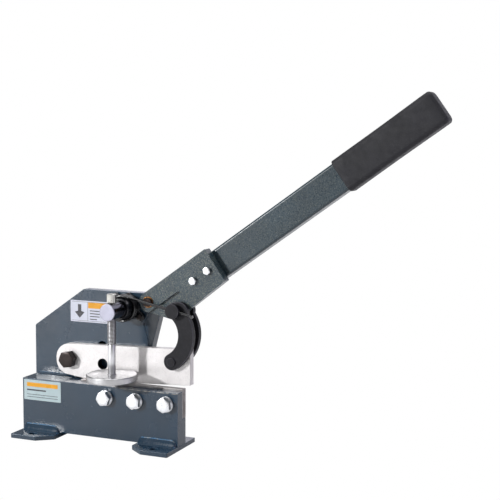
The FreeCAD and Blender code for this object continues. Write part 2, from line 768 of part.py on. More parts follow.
def upper_link_pin():
    """Headed pin; the spring's arm passes through a cross hole just behind its head."""
    head = 2.6
    head_front = 7.5
    shank_end = LINK_BACK + dim("link_thickness") + 2.4
    solid = fuse("upper_pin_solid", [
        cylinder("upper_pin_head_disc", "dims.upper_pin_head", head, along_y(UPPER_PIN, head_front)),
        cylinder("upper_pin_shank", "dims.upper_pin_radius", shank_end - head_front - head,
                 along_y(UPPER_PIN, head_front + head)),
    ])
    slope = wire_direction()
    length = 30.0
    start = Vector(
        UPPER_PIN[0] - math.cos(slope) * length / 2, WIRE_LEVEL,
        UPPER_PIN[1] - math.sin(slope) * length / 2,
    )
    direction = Vector(math.cos(slope), 0, math.sin(slope))
    hole_radius = dim("spring_wire_radius") + 0.8
    hole = cylinder(
        "upper_pin_cross_hole", hole_radius, length,
        Placement(start, Rotation(Vector(0, 0, 1), direction)),
    )
    keep(cut("upper_link_pin", solid, hole))
    keep(ring(
        "upper_pin_clip", 7.6, "dims.upper_pin_radius", 1.2,
        along_y(UPPER_PIN, LINK_BACK + dim("link_thickness") + 0.4),
    ))


# ----------------------------------------------------------------- hold-down and return spring

def bracket():
    """Flange screwed to the side plate, with a boss that carries the cross bar and the spring."""
    body = new_body("holddown_bracket")
    base = new_sketch(body, "XZ", "flange", -FLANGE_FRONT)
    draw_circle(base, SPRING_AXIS, 15.0)
    pad(body, base, "dims.flange_thickness", "flange_pad", reverse=True)
    for count, ear in enumerate(BRACKET_EARS):
        lobe = new_sketch(body, "XZ", "lobe_%d" % count, -FLANGE_FRONT)
        draw_slot(lobe, SPRING_AXIS, ear_centre(ear), ear["lobe"])
        pad(body, lobe, "dims.flange_thickness", "lobe_pad_%d" % count, reverse=True)
    boss = new_sketch(body, "XZ", "boss", -6.0)
    draw_circle(boss, SPRING_AXIS, dim("boss_radius"), "dims.boss_radius")
    pad(body, boss, "%s - 6" % SIDE_FRONT, "boss_pad", reverse=True)
    bore = dim("cross_bar_radius") + dim("running_gap")
    holes_through(body, [(SPRING_AXIS, bore, "dims.cross_bar_radius + dims.running_gap")], "bar_bore")
    screws = new_sketch(body, "XZ", "ear_holes", -FLANGE_FRONT)
    for ear in BRACKET_EARS:
        draw_circle(screws, ear_centre(ear), ear["shank"])
    pocket(body, screws, "ear_hole_pocket")
    tapped = new_sketch(body, "XY", "set_screw_hole", SPRING_AXIS[1])
    draw_circle(tapped, (SPRING_AXIS[0], 9.0), 1.5)
    pocket(body, tapped, "set_screw_pocket")
    keep(body)


def bracket_screws():
    screws = []
    for count, ear in enumerate(BRACKET_EARS):
        centre = ear_centre(ear)
        head = 1.2
        screws.append(fuse("bracket_screw_%d" % count, [
            cylinder("screw_head_%d" % count, ear["head"], head, along_y(centre, FLANGE_FRONT - head)),
            cylinder("screw_shank_%d" % count, ear["shank"],
                     dim("flange_thickness") + BRACKET_SCREW_DEPTH - 1, along_y(centre, FLANGE_FRONT)),
        ]))
    keep(group("bracket_screws", screws))
    boss_low = SPRING_AXIS[1] - dim("boss_radius")
    grub = cylinder(
        "bar_set_screw", 1.5, 2.2, Placement(Vector(SPRING_AXIS[0], 9.0, boss_low - 0.4), Rotation()),
    )
    keep(grub)


def cross_bar():
    """Round bar that slides in the bracket and carries the threaded rod."""
    length = dim("cross_bar_front") + SIDE_FRONT - 0.5
    front = along_y(SPRING_AXIS, -dim("cross_bar_front"))
    bar = cylinder("cross_bar_round", "dims.cross_bar_radius", length, front)
    reach = 2 * dim("cross_bar_radius") + 2
    hole = cylinder(
        "rod_hole", "dims.rod_radius", reach,
        Placement(Vector(dim("rod_x"), -dim("rod_forward"), dim("cross_bar_z") - reach / 2), Rotation()),
    )
    keep(cut("cross_bar", bar, hole))


def at_rod(level):
    """A place on the axis of the threaded rod."""
    return Placement(Vector(dim("rod_x"), -dim("rod_forward"), level), Rotation())


def clamp_rod():
    """Threaded rod with a plain lower stretch, and the notched knob that turns it."""
    end = dim("disc_bottom") + 2.1
    start = dim("rod_thread_start")
    recess = 1.0
    knob_bottom = dim("cross_bar_z") + dim("cross_bar_radius") + 0.3
    knob_height = dim("rod_top") - knob_bottom
    keep(fuse("holddown_rod", [
        cylinder("rod_plain", "dims.rod_plain_radius", start - end, at_rod(end)),
        cylinder("rod_thread", "dims.rod_radius - 0.05", knob_bottom - start, at_rod(start)),
        cylinder("rod_spigot", "dims.knob_spigot_radius", knob_height - recess, at_rod(knob_bottom)),
    ]))
    knob = ring("knob_ring", "dims.knob_radius", "dims.knob_spigot_radius", knob_height, at_rod(knob_bottom))
    notches = []
    notch_count = 6
    for count in range(notch_count):
        turn = Rotation(Vector(0, 0, 1), 360.0 * count / notch_count + 30)
        middle = at_rod(knob_bottom) * Placement(turn.multVec(Vector(dim("knob_radius") + 0.3, 0, 0)), turn)
        notches.append(cylinder("knob_notch_%d" % count, 0.7, knob_height, middle))
    keep(cut("rod_knob", knob, fuse("knob_notches", notches)))


def clamp_disc():
    """Flat round foot with a blind bore for the rod's end, and the ring that keeps the rod in it."""
    at = at_rod(dim("disc_bottom"))
    disc = cylinder("disc_blank", "dims.disc_radius", "dims.disc_thickness", at)
    bore = cylinder("disc_bore", "dims.rod_plain_radius + dims.running_gap", "dims.disc_thickness",
                    at * Placement(Vector(0, 0, 2.0), Rotation()))
    keep(cut("holddown_disc", disc, bore))
    keep(ring(
        "disc_retaining_ring", 5.3, "dims.rod_plain_radius + dims.running_gap", 0.5,
        at * Placement(Vector(0, 0, dim("disc_thickness")), Rotation()),
    ))


def spring_coil():
    """Standing turns of the return spring round the boss, one ring for each turn."""
    rings = []
    for count in range(1, 4):
        turn = doc.addObject("Part::Torus", "spring_turn_%d" % count)
        turn.setExpression("Radius2", "dims.spring_wire_radius")
        turn.Radius1 = SPRING_RADIUS
        turn.Placement = along_y(SPRING_AXIS, WIRE_LEVEL + count * dim("spring_pitch"))
        rings.append(turn)
    keep(group("return_spring_coil", rings))


def spring_arm():
    """Last turn of the spring with its long arm, bent over at the free end."""
    slope = wire_direction()
    axis = Vector(SPRING_AXIS[0], WIRE_LEVEL, SPRING_AXIS[1])

    def on_coil(angle):
        return axis + Vector(math.cos(angle), 0, math.sin(angle)) * SPRING_RADIUS

    leave = slope + math.pi / 2
    first = leave + math.radians(230)
    direction = Vector(math.cos(slope), 0, math.sin(slope))
    bend = 3.0
    tail = 3.0
    corner = on_coil(leave) + direction * 85.0
    bend_end = corner + direction * bend + Vector(0, -bend, 0)
    half_turn = math.sin(math.pi / 4)
    bend_middle = corner + direction * (bend * half_turn) + Vector(0, -bend * (1 - half_turn), 0)
    path = Part.Wire([
        Part.Arc(on_coil(first), on_coil((first + leave) / 2), on_coil(leave)).toShape(),
        Part.LineSegment(on_coil(leave), corner).toShape(),
        Part.Arc(corner, bend_middle, bend_end).toShape(),
        Part.LineSegment(bend_end, bend_end + Vector(0, -tail, 0)).toShape(),
    ])
    start = on_coil(first)
    normal = Vector(math.sin(first), 0, -math.cos(first))
    section = Part.Wire(Part.makeCircle(dim("spring_wire_radius"), start, normal))
    arm = doc.addObject("Part::Feature", "return_spring_arm")
    arm.Label = "return_spring_arm"
    arm.Shape = path.makePipeShell([section], True, False)
    keep(arm)


# ----------------------------------------------------------------- labels

def label_plate(label, left, low, width, height, front):
    keep(bound_box(label, (left, front, low), (width, "dims.label_thickness", height)))


# ----------------------------------------------------------------- build, check and write

front_plate()
lower_blade()
lower_blade_fasteners()
side_plate()
spacer_blocks()
foot("left_foot", dim("base_left"), 1)
foot("right_foot", dim("base_right"), -1)
weld_beads()
upper_blade()
blade_pivot()
lever_plate()
lever_tube()
grip()
lever_fasteners()
lever_pivot()
link("front_link", LINK_FRONT)
link("rear_link", LINK_BACK)
lower_link_pin()
upper_link_pin()
bracket()
bracket_screws()
cross_bar()
clamp_rod()
clamp_disc()
spring_coil()
spring_arm()
label_plate("base_label", 0.8, 40.2, 49.7, 23.8, -dim("label_thickness"))
label_plate("safety_label", 46.2, 131.0, 49.6, 25.0, SIDE_FRONT - dim("label_thickness"))
doc.recompute()

for item in doc.Objects:
    if "Invalid" in item.State or "Error" in item.State:
        raise RuntimeError("%s failed to build" % item.Label)

os.makedirs("parts", exist_ok=True)
for node in nodes:
    shape = node.Shape
    if shape.isNull() or not shape.isValid() or not shape.Solids:
        raise RuntimeError("%s has no valid solid" % node.Label)
    shape.exportStep("parts/%s.step" % node.Label)
    print("%-26s %2d solid %10.1f mm3" % (node.Label, len(shape.Solids), shape.Volume))
print("%d sub-parts" % len(nodes))
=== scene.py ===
import math

import bmesh
import bpy
from bpy.props import FloatProperty, FloatVectorProperty, IntProperty, PointerProperty
from mathutils import Matrix, Vector, noise


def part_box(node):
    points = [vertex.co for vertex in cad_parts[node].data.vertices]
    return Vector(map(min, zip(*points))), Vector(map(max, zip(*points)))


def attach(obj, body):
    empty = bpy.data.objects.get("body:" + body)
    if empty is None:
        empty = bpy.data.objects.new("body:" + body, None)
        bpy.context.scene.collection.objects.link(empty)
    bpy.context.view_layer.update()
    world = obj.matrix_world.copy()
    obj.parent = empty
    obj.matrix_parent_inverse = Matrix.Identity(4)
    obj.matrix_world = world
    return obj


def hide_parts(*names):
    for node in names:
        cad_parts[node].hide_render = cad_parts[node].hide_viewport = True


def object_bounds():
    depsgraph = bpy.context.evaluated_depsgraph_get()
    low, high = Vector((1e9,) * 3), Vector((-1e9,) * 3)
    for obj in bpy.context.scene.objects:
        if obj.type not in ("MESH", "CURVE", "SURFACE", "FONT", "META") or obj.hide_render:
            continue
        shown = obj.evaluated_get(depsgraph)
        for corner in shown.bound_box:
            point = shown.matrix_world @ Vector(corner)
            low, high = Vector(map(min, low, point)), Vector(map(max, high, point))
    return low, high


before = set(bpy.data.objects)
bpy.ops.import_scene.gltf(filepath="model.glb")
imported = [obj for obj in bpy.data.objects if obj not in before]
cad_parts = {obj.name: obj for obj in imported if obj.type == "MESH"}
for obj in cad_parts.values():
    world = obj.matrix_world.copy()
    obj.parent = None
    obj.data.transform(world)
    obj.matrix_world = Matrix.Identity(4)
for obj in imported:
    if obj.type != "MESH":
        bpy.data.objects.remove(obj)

bl_info = {
    "name": "Plate Shear",
    "version": (1, 0, 0),
    "blender": (4, 5, 0),
    "location": "3D View > Sidebar > Shear",
    "description": "Finishes the pieces of a hand lever plate shear and lights it",
    "category": "Object",
}

CAD_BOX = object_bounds()
MM = 0.001

# Sizes that the frame's boxes don't give: radii, widths across flats, and heights.
LEVER_WASHER = 5.5 * MM
BLADE_WASHER = 9.0 * MM
LEVER_BOLT = 2.5 * MM
LEVER_BOLT_FLATS = 8.0 * MM
BLADE_BOLT = 5.0 * MM
BLADE_BOLT_FLATS = 15.0 * MM
BLADE_PIVOT = 6.0 * MM
BLADE_PIVOT_FLATS = 17.6 * MM
BLADE_PIVOT_HEAD = 8.6 * MM
LEVER_PIVOT = 4.5 * MM
LEVER_PIVOT_FLATS = 15.0 * MM
LEVER_PIVOT_HEAD = 1.8 * MM
BAR_BORE = ((-0.0062, 0.0, 0.0854), 6.45 * MM)
THREAD_DROP = 27.4 * MM
ROD_PLAIN = 4.2 * MM
ROD_SPIGOT = 3.4 * MM
SPRING_WIRE = 1.5 * MM
TUBE_CORNER = 3.0 * MM
GRIP_END = 4.0 * MM

# Turns of the hexagon heads, in degrees, as the bolts happened to stop.
BLADE_BOLT_TURNS = (8, 24, 31)
LEVER_BOLT_TURNS = (11, 44)
BLADE_PIVOT_TURN = 10

# Shares of a weld bead's height where its toes begin; those toe strips carry a painted highlight.
TOE_TOP = 0.86
TOE_BOTTOM = 0.05

BARE_STEEL = (0.52, 0.48, 0.42)
ENAMEL_FLECK = (0.235, 0.25, 0.20)
# Brown of old oil film, also used as painted shade at the lower blade's left end.
OIL_AND_SHADE_BROWN = (0.085, 0.07, 0.065)
GROOVE_SHADE = (0.18, 0.175, 0.17)
BORE_SHADE = (0.008, 0.008, 0.010)
DARK_BRONZE = (0.03, 0.018, 0.012)
CLEAN_BRONZE = (0.30, 0.14, 0.05)

CAMERA_PLACE = (0.6255, -1.0470, 0.3442)
CAMERA_LENS = 79.06
CAMERA_SWING_DIP_ROLL = (22.54, 5.78, 0.416)
LIGHT_TARGET = (0.0, 0.02, 0.1)


# ------------------------------------------------------------------ places, from the frame

def centre(node):
    low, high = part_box(node)
    return (low + high) / 2


def bolt_row(node, radius, count):
    """Middles of like round parts in one node, from the first to the last."""
    low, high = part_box(node)
    first = Vector((low.x + radius, low.y, low.z + radius))
    last = Vector((high.x - radius, low.y, high.z - radius))
    return [first.lerp(last, step / (count - 1)) for step in range(count)]


def lever_slope():
    """Angle of the lever above the level, from the middles of its two washers."""
    low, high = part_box("lever_bolt_washers")
    run = high - low - Vector((2 * LEVER_WASHER, 0, 2 * LEVER_WASHER))
    return math.atan2(run.z, run.x)


def lever_place():
    """Lever space: X along the lever from its pivot, Y to the back, Z across it."""
    pivot = centre("lever_pivot_washer")
    turn = Matrix.Rotation(-lever_slope(), 4, "Y")
    return Matrix.Translation((pivot.x, 0.0, pivot.z)) @ turn


def box_in(node, place):
    """Lowest and highest corners of a node's vertices in another space."""
    inverse = place.inverted()
    points = [inverse @ vertex.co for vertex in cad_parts[node].data.vertices]
    low = Vector(min(point[axis] for point in points) for axis in range(3))
    high = Vector(max(point[axis] for point in points) for axis in range(3))
    return low, high


def facing_front(point, y):
    """Space of a round part whose Z axis points from the back to the front, out of y."""
    return Matrix.Translation((point.x, y, point.z)) @ Matrix.Rotation(math.pi / 2, 4, "X")


# ------------------------------------------------------------------ mesh helpers

def circle(radius, height, segments, shape=None):
    """A ring of points; shape gives a radius for each angle, and no radius is one point."""
    if radius == 0:
        return [Vector((0, 0, height))]
    ring = []
    for step in range(segments):
        angle = 2 * math.pi * step / segments
        reach = shape(angle) if shape else radius
        ring.append(Vector((reach * math.cos(angle), reach * math.sin(angle), height)))
    return ring


def skin(rings, closed=False):
    """Vertices and faces through rings of points; a ring of one point closes an end."""
    vertices = []
    starts = []
    for ring in rings:
        starts.append(len(vertices))
        vertices.extend(ring)
    faces = []
    for index in range(len(rings) if closed else len(rings) - 1):
        other = (index + 1) % len(rings)
        one, two = len(rings[index]), len(rings[other])
        for step in range(max(one, two)):
            after = (step + 1) % max(one, two)
            low = [starts[index] + (step if one > 1 else 0), starts[index] + (after if one > 1 else 0)]
            top = [starts[other] + (after if two > 1 else 0), starts[other] + (step if two > 1 else 0)]
            corners = low + top
            faces.append([c for place, c in enumerate(corners) if c not in corners[:place]])
    return vertices, faces


def turned(profile, segments=64, closed=False):
    """A turned solid: profile is a list of (radius, height)."""
    return skin([circle(radius, height, segments) for radius, height in profile], closed)


def moved(solid, place):
    vertices, faces = solid
    return [place @ vertex for vertex in vertices], faces


def joined(solids):
    """Several solids as one list of vertices and faces."""
    vertices, faces = [], []
    for more, their_faces in solids:
        shift = len(vertices)
        vertices.extend(more)
        faces.extend([[corner + shift for corner in face] for face in their_faces])
    return vertices, faces


def hex_head(flats, height, segments=72):
    """Hexagon head, its chamfered face at the top; the chamfer cuts a curve into each flat."""
    half = flats / 2
    crown = 0.94 * half
    slope = math.tan(math.radians(28))

    def edge(angle):
        return half / math.cos((angle % (math.pi / 3)) - math.pi / 6)

    boundary = circle(1, height, segments, edge)
    for point in boundary:
        point.z = height - (Vector((point.x, point.y)).length - crown) * slope
    rings = [
        circle(0, height, segments), circle(0.6 * half, height, segments), circle(crown, height, segments),
        boundary, circle(1, 0.0, segments, edge), circle(0, 0.0, segments),
    ]
    return skin(rings)


def threaded(radius, depth, pitch, length, chamfer=0.0, segments=36, per_turn=8):
    """A bar with a helical thread cut into it, and chamfered ends."""
    steps = max(2, int(length / pitch * per_turn))
    rings = [circle(0, 0, segments), circle(radius - depth - chamfer, 0.0, segments)]
    for step in range(steps + 1):
        height = length * step / steps
        limit = radius - depth + max(0.0, min(height, length - height) - 0.1 * pitch)

        def crest(angle, height=height, limit=limit):
            phase = (height / pitch - angle / (2 * math.pi)) % 1.0
            rise = min(1.0, max(0.0, 1.25 - 2.5 * abs(phase - 0.5)))
            return min(radius - depth * (1 - rise), limit)

        rings.append(circle(1, height, segments, crest))
    rings.append(circle(radius - depth - chamfer, length, segments))
    rings.append(circle(0, length, segments))
    return skin(rings)


def make_piece(name, solid, materials, body, replaces=(), smooth=30):
    """Turns vertices and faces into a piece that rides on a body."""
    vertices, faces = solid
    mesh = bpy.data.meshes.new(name)
    mesh.from_pydata([tuple(vertex) for vertex in vertices], [], faces)
    work = bmesh.new()
    work.from_mesh(mesh)
    bmesh.ops.remove_doubles(work, verts=work.verts, dist=1e-7)
    bmesh.ops.recalc_face_normals(work, faces=work.faces)
    work.to_mesh(mesh)
    work.free()
    mesh.polygons.foreach_set("use_smooth", [True] * len(mesh.polygons))
    mesh.set_sharp_from_angle(angle=math.radians(smooth))
    piece = bpy.data.objects.new(name, mesh)
    bpy.context.scene.collection.objects.link(piece)
    for material in materials:
        mesh.materials.append(material)
    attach(piece, body)
    if replaces:
        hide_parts(*replaces)
    return piece


def finish_node(node, material, edge_material=None, edge=0.0, segments=2):
    """Gives a CAD node its material, and rounds its edges in a material of their own."""
    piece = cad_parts[node]
    mesh = piece.data
    mesh.materials.clear()
    mesh.materials.append(material)
    mesh.materials.append(edge_material or material)
    if "custom_normal" in mesh.attributes:
        mesh.attributes.remove(mesh.attributes["custom_normal"])
    mesh.polygons.foreach_set("material_index", [0] * len(mesh.polygons))
    mesh.polygons.foreach_set("use_smooth", [True] * len(mesh.polygons))
    if edge:
        weld = piece.modifiers.new("Weld", "WELD")
        weld.merge_threshold = 1e-6
        flat = piece.modifiers.new("Join flat faces", "DECIMATE")
        flat.decimate_type = "DISSOLVE"
        flat.angle_limit = math.radians(0.2)
        bevel = piece.modifiers.new("Round edges", "BEVEL")
        bevel.width = edge
        bevel.segments = segments
        bevel.limit_method = "ANGLE"
        bevel.angle_limit = math.radians(32)
        bevel.use_clamp_overlap = False
        bevel.material = 1
        normals = piece.modifiers.new("Even shading", "WEIGHTED_NORMAL")
        normals.weight = 90
        normals.keep_sharp = True
    return piece


# ------------------------------------------------------------------ surfaces

class Surface:
    """One material, with short ways to add the nodes that give it its detail."""

    def __init__(self, name, metallic=0.0, roughness=0.4, gloss=0.5):
        self.material = bpy.data.materials.new(name)
        self.material.use_nodes = True
        self.nodes = self.material.node_tree.nodes
        self.links = self.material.node_tree.links
        self.shader = self.nodes["Principled BSDF"]
        self.shader.inputs["Metallic"].default_value = metallic
        self.shader.inputs["Roughness"].default_value = roughness
        self.shader.inputs["Specular IOR Level"].default_value = gloss
        self.place = self.nodes.new("ShaderNodeTexCoord").outputs["Object"]
        self.height = None

    def join(self, source, node, socket):
        self.links.new(source, node.inputs[socket])

    def mapped(self, stretch=(1, 1, 1), shift=(0, 0, 0)):
        node = self.nodes.new("ShaderNodeMapping")
        node.inputs["Scale"].default_value = stretch
        node.inputs["Location"].default_value = shift
        self.join(self.place, node, "Vector")
        return node.outputs["Vector"]

    def noise(self, size, detail=3.0, where=None):
        """Cloudy variation; size is the width of its features in metres."""
        node = self.nodes.new("ShaderNodeTexNoise")
        node.inputs["Scale"].default_value = 1.0 / size
        node.inputs["Detail"].default_value = detail
        self.join(where or self.place, node, "Vector")
        return node.outputs["Fac"]

    def rings(self, point, spacing, direction="Z"):
        """Turning marks round an axis through a point."""
        node = self.nodes.new("ShaderNodeTexWave")
        node.wave_type = "RINGS"
        node.rings_direction = direction
        node.inputs["Scale"].default_value = 0.314 / spacing
        node.inputs["Distortion"].default_value = 0.6
        node.inputs["Detail"].default_value = 2.0
        self.join(self.mapped(shift=[-value for value in point]), node, "Vector")
        return node.outputs["Fac"]

    def spread(self, source, low, high, start=0.3, end=0.7):
        """Maps a source from start..end to low..high, held at both ends."""
        node = self.nodes.new("ShaderNodeMapRange")
        node.inputs["From Min"].default_value = start
        node.inputs["From Max"].default_value = end
        node.inputs["To Min"].default_value = low
        node.inputs["To Max"].default_value = high
        self.join(source, node, "Value")
        return node.outputs["Result"]

    def along(self, axis, start, end):
        """0 to 1 as one coordinate goes from start to end."""
        node = self.nodes.new("ShaderNodeSeparateXYZ")
        self.join(self.place, node, "Vector")
        return self.spread(node.outputs[axis], 0.0, 1.0, start, end)

    def from_axis(self, point, direction, near, far):
        """0 to 1 as the distance from an axis through a point goes from near to far."""
        node = self.nodes.new("ShaderNodeVectorMath")
        node.operation = "LENGTH"
        flat = [0.0 if axis == direction else 1.0 for axis in "XYZ"]
        shift = [-value * keep for value, keep in zip(point, flat)]
        self.join(self.mapped(stretch=flat, shift=shift), node, 0)
        return self.spread(node.outputs["Value"], 0.0, 1.0, near, far)

    def math(self, kind, one, two):
        node = self.nodes.new("ShaderNodeMath")
        node.operation = kind
        for socket, value in enumerate((one, two)):
            if isinstance(value, (int, float)):
                node.inputs[socket].default_value = value
            else:
                self.join(value, node, socket)
        return node.outputs[0]

    def blend(self, share, one, two):
        """Colour that goes from one to two; each is a colour or another node's output."""
        node = self.nodes.new("ShaderNodeMix")
        node.data_type = "RGBA"
        self.join(share, node, "Factor")
        for socket, value in ((6, one), (7, two)):
            if isinstance(value, (tuple, list)):
                node.inputs[socket].default_value = (*value[:3], 1.0)
            else:
                self.links.new(value, node.inputs[socket])
        return node.outputs[2]

    def colour(self, source):
        self.join(source, self.shader, "Base Color")

    def rough(self, source):
        self.join(source, self.shader, "Roughness")

    def metal(self, source):
        self.join(source, self.shader, "Metallic")

    def bump(self, source, depth):
        """Adds height of a depth in metres."""
        node = self.nodes.new("ShaderNodeBump")
        node.inputs["Strength"].default_value = 1.0
        node.inputs["Distance"].default_value = depth
        self.join(source, node, "Height")
        if self.height is not None:
            self.join(self.height, node, "Normal")
        self.height = node.outputs["Normal"]
        self.join(self.height, self.shader, "Normal")


def shade(colour, factor):
    return tuple(min(1.0, channel * factor) for channel in tuple(colour)[:3])


def gloss_paint(name, colour, worn=None):
    """Smooth sprayed enamel with orange peel, faint dust and uneven gloss."""
    paint = Surface(name, roughness=0.24)
    tint = paint.blend(paint.spread(paint.noise(0.06, 4), 0, 1), shade(colour, 0.86), shade(colour, 1.14))
    specks = paint.spread(paint.noise(0.0007, 2), 0, 0.35, 0.72, 0.80)
    tint = paint.blend(specks, tint, shade(colour, 2.6))
    if worn:
        metal = worn(paint)
        tint = paint.blend(metal, tint, BARE_STEEL)
        paint.metal(paint.math("MULTIPLY", metal, 0.85))
    paint.colour(tint)
    paint.rough(paint.spread(paint.noise(0.02, 5), 0.17, 0.30))
    paint.bump(paint.noise(0.0022, 2), 0.00003)
    paint.bump(paint.noise(0.012, 2), 0.00008)
    return paint.material


def rubbed_top_edge(surface):
    """Bare steel along the top front edge where sheets are slid in, at the right half."""
    low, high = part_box("front_plate")
    along = surface.along("X", low.x + 112 * MM, low.x + 150 * MM)
    near_top = surface.along("Z", high.z - 1.6 * MM, high.z - 0.3 * MM)
    near_front = surface.along("Y", low.y + 2.2 * MM, low.y + 0.2 * MM)
    broken = surface.spread(surface.noise(0.004, 5), 0, 1, 0.40, 0.52)
    mask = surface.math("MULTIPLY", surface.math("MULTIPLY", along, near_top), broken)
    return surface.math("MULTIPLY", mask, near_front)


def worn_edge_paint(name, colour, bare):
    """Paint over an edge, thinned and chipped to lighter metal in places."""
    paint = Surface(name, roughness=0.3)
    chips = paint.spread(paint.noise(0.006, 5), 0, 0.8, 0.58, 0.70)
    tint = paint.blend(paint.spread(paint.noise(0.02, 3), 0, 1), shade(colour, 1.2), shade(colour, 1.9))
    paint.colour(paint.blend(chips, tint, bare))
    paint.rough(paint.spread(paint.noise(0.004, 3), 0.2, 0.42))
    paint.bump(paint.noise(0.0015, 3), 0.00004)
    return paint.material


def hammered_paint(name, colour, grain, fleck):
    """Crackled enamel: small dimples with lighter flecks that catch the light."""
    paint = Surface(name, roughness=0.34)
    tint = paint.blend(paint.spread(paint.noise(0.03, 3), 0, 1), shade(colour, 0.8), shade(colour, 1.2))
    flecks = paint.spread(paint.noise(grain, 2), 0, fleck, 0.54, 0.63)
    paint.colour(paint.blend(flecks, tint, ENAMEL_FLECK))
    paint.rough(paint.spread(paint.noise(grain * 1.5, 2), 0.22, 0.46))
    paint.bump(paint.noise(grain * 1.6, 3), 0.00016 * fleck + 0.00003)
    return paint.material


def ground_steel(name, colour, stain_and_shade=None, dark_bore=None):
    """Ground blade steel: fine cross marks, faint clouds and a few spots."""
    steel = Surface(name, metallic=0.45, roughness=0.42)
    marks = steel.noise(0.0009, 2, steel.mapped(stretch=(1, 1, 0.06)))
    tint = steel.blend(steel.spread(steel.noise(0.018, 5), 0, 1), shade(colour, 0.93), shade(colour, 1.05))
    spots = steel.spread(steel.noise(0.0016, 3), 0, 0.3, 0.54, 0.70)
    tint = steel.blend(spots, tint, shade(colour, 0.62))
    if stain_and_shade:
        # Brown oil film and, at the lower blade's left end, painted shade.
        tint = steel.blend(stain_and_shade(steel), tint, OIL_AND_SHADE_BROWN)
    if dark_bore:
        # The bore's inner wall is painted dark as shade.
        point, radius = dark_bore
        outside = steel.from_axis(point, "Y", radius, radius + 0.1 * MM)
        tint = steel.blend(outside, BORE_SHADE, tint)
    steel.colour(tint)
    steel.rough(steel.spread(marks, 0.36, 0.52))
    steel.bump(marks, 0.00002)
    return steel.material


def oil_stain_and_painted_shade(surface):
    """Brown temper and oil film towards the right end of the lower blade, painted shade in the same brown at
    its left end, and a fainter cloud of it all along.
    """
    low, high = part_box("lower_blade")
    ends = surface.math("MAXIMUM", surface.along("X", high.x - 60 * MM, high.x - 12 * MM),
                        surface.along("X", low.x + 45 * MM, low.x + 20 * MM))
    cloud = surface.spread(surface.noise(0.012, 5), 0.35, 1.0, 0.35, 0.62)
    return surface.math("MULTIPLY", cloud, surface.math("ADD", surface.math("MULTIPLY", ends, 0.55), 0.35))


def zinc_plate(name, colour):
    """Bright zinc with faint crystal clouds and small nicks."""
    zinc = Surface(name, metallic=1.0, roughness=0.28)
    zinc.colour(zinc.blend(zinc.spread(zinc.noise(0.004, 4), 0, 1), shade(colour, 0.92), shade(colour, 1.06)))
    zinc.rough(zinc.spread(zinc.noise(0.004, 3), 0.26, 0.34))
    zinc.bump(zinc.noise(0.003, 2), 0.000006)
    return zinc.material


def dark_steel(name, colour, low=0.3, high=0.52, metallic=0.7, gloss=0.35):
    """Blackened steel with brown patches and an oily, uneven gloss."""
    steel = Surface(name, metallic=metallic, gloss=gloss)
    tint = steel.blend(steel.spread(steel.noise(0.006, 5), 0, 1), shade(colour, 0.75), shade(colour, 1.3))
    rust = steel.spread(steel.noise(0.003, 5), 0, 0.5, 0.60, 0.72)
    steel.colour(steel.blend(rust, tint, shade((2.4 * colour[0], 1.9 * colour[1], 1.6 * colour[2]), 1.3)))
    steel.rough(steel.spread(steel.noise(0.0025, 4), low, high))
    steel.bump(steel.noise(0.0009, 4), 0.00004)
    return steel.material


def turned_steel(name, colour, point, direction, spacing=0.0006):
    """Satin steel with turning marks round one axis."""
    steel = Surface(name, metallic=1.0, roughness=0.34)
    marks = steel.rings(point, spacing, direction)
    tint = steel.blend(steel.spread(steel.noise(0.01, 4), 0, 1), shade(colour, 0.9), shade(colour, 1.06))
    steel.colour(steel.blend(steel.spread(marks, 0, 0.25, 0.2, 0.9), tint, shade(colour, 0.7)))
    steel.rough(steel.spread(steel.noise(0.003, 4), 0.26, 0.42))
    steel.bump(marks, 0.00002)
    return steel.material


def threaded_steel(name, colour, point, thread_start):
    """Bright bar steel, its thread grooves darkened with painted shade."""
    steel = Surface(name, metallic=1.0)
    # Painted shade: darker inside the thread's root radius, from where the thread starts.
    groove_shade = steel.math("MULTIPLY", steel.from_axis(point, "Z", 4.85 * MM, 4.35 * MM),
                        steel.along("Z", thread_start, thread_start + 0.6 * MM))
    tint = steel.blend(steel.spread(steel.noise(0.006, 3), 0, 1), shade(colour, 0.94), shade(colour, 1.04))
    steel.colour(steel.blend(groove_shade, tint, GROOVE_SHADE))
    steel.rough(steel.spread(steel.noise(0.005, 3), 0.30, 0.38))
    steel.bump(steel.noise(0.003, 2), 0.000006)
    return steel.material


def bar_steel(name, colour, point, front):
    """A bar with a bright turned front face and a polished side painted dark as a reflection of dark
    surroundings.
    """
    steel = Surface(name, metallic=1.0, roughness=0.3)
    face = steel.along("Y", front + 1.1 * MM, front + 0.5 * MM)
    marks = steel.rings(point, 0.0008, "Y")
    bright = steel.blend(steel.spread(steel.noise(0.01, 4), 0, 1), shade(colour, 0.9), shade(colour, 1.06))
    bright = steel.blend(steel.spread(marks, 0, 0.2, 0.2, 0.9), bright, shade(colour, 0.75))
    reflection_streaks = steel.noise(0.004, 3, steel.mapped(stretch=(1, 0.1, 1)))
    # Painted reflection: the side is coloured dark, as polished steel mirroring dark surroundings.
    side = steel.blend(steel.spread(reflection_streaks, 0, 1), (0.05, 0.05, 0.065), (0.16, 0.16, 0.20))
    steel.colour(steel.blend(face, side, bright))
    polish = steel.spread(steel.noise(0.003, 4), 0.12, 0.2)
    steel.rough(steel.math("ADD", polish, steel.math("MULTIPLY", face, 0.2)))
    steel.bump(marks, 0.00001)
    return steel.material


def bronze(name):
    """Oily bronze, dark where oil has gathered."""
    metal = Surface(name, metallic=1.0)
    clean = metal.spread(metal.noise(0.0025, 5), 0, 1)
    metal.colour(metal.blend(clean, DARK_BRONZE, CLEAN_BRONZE))
    metal.rough(metal.spread(metal.noise(0.003, 3), 0.18, 0.4))
    metal.bump(metal.noise(0.001, 3), 0.00003)
    return metal.material


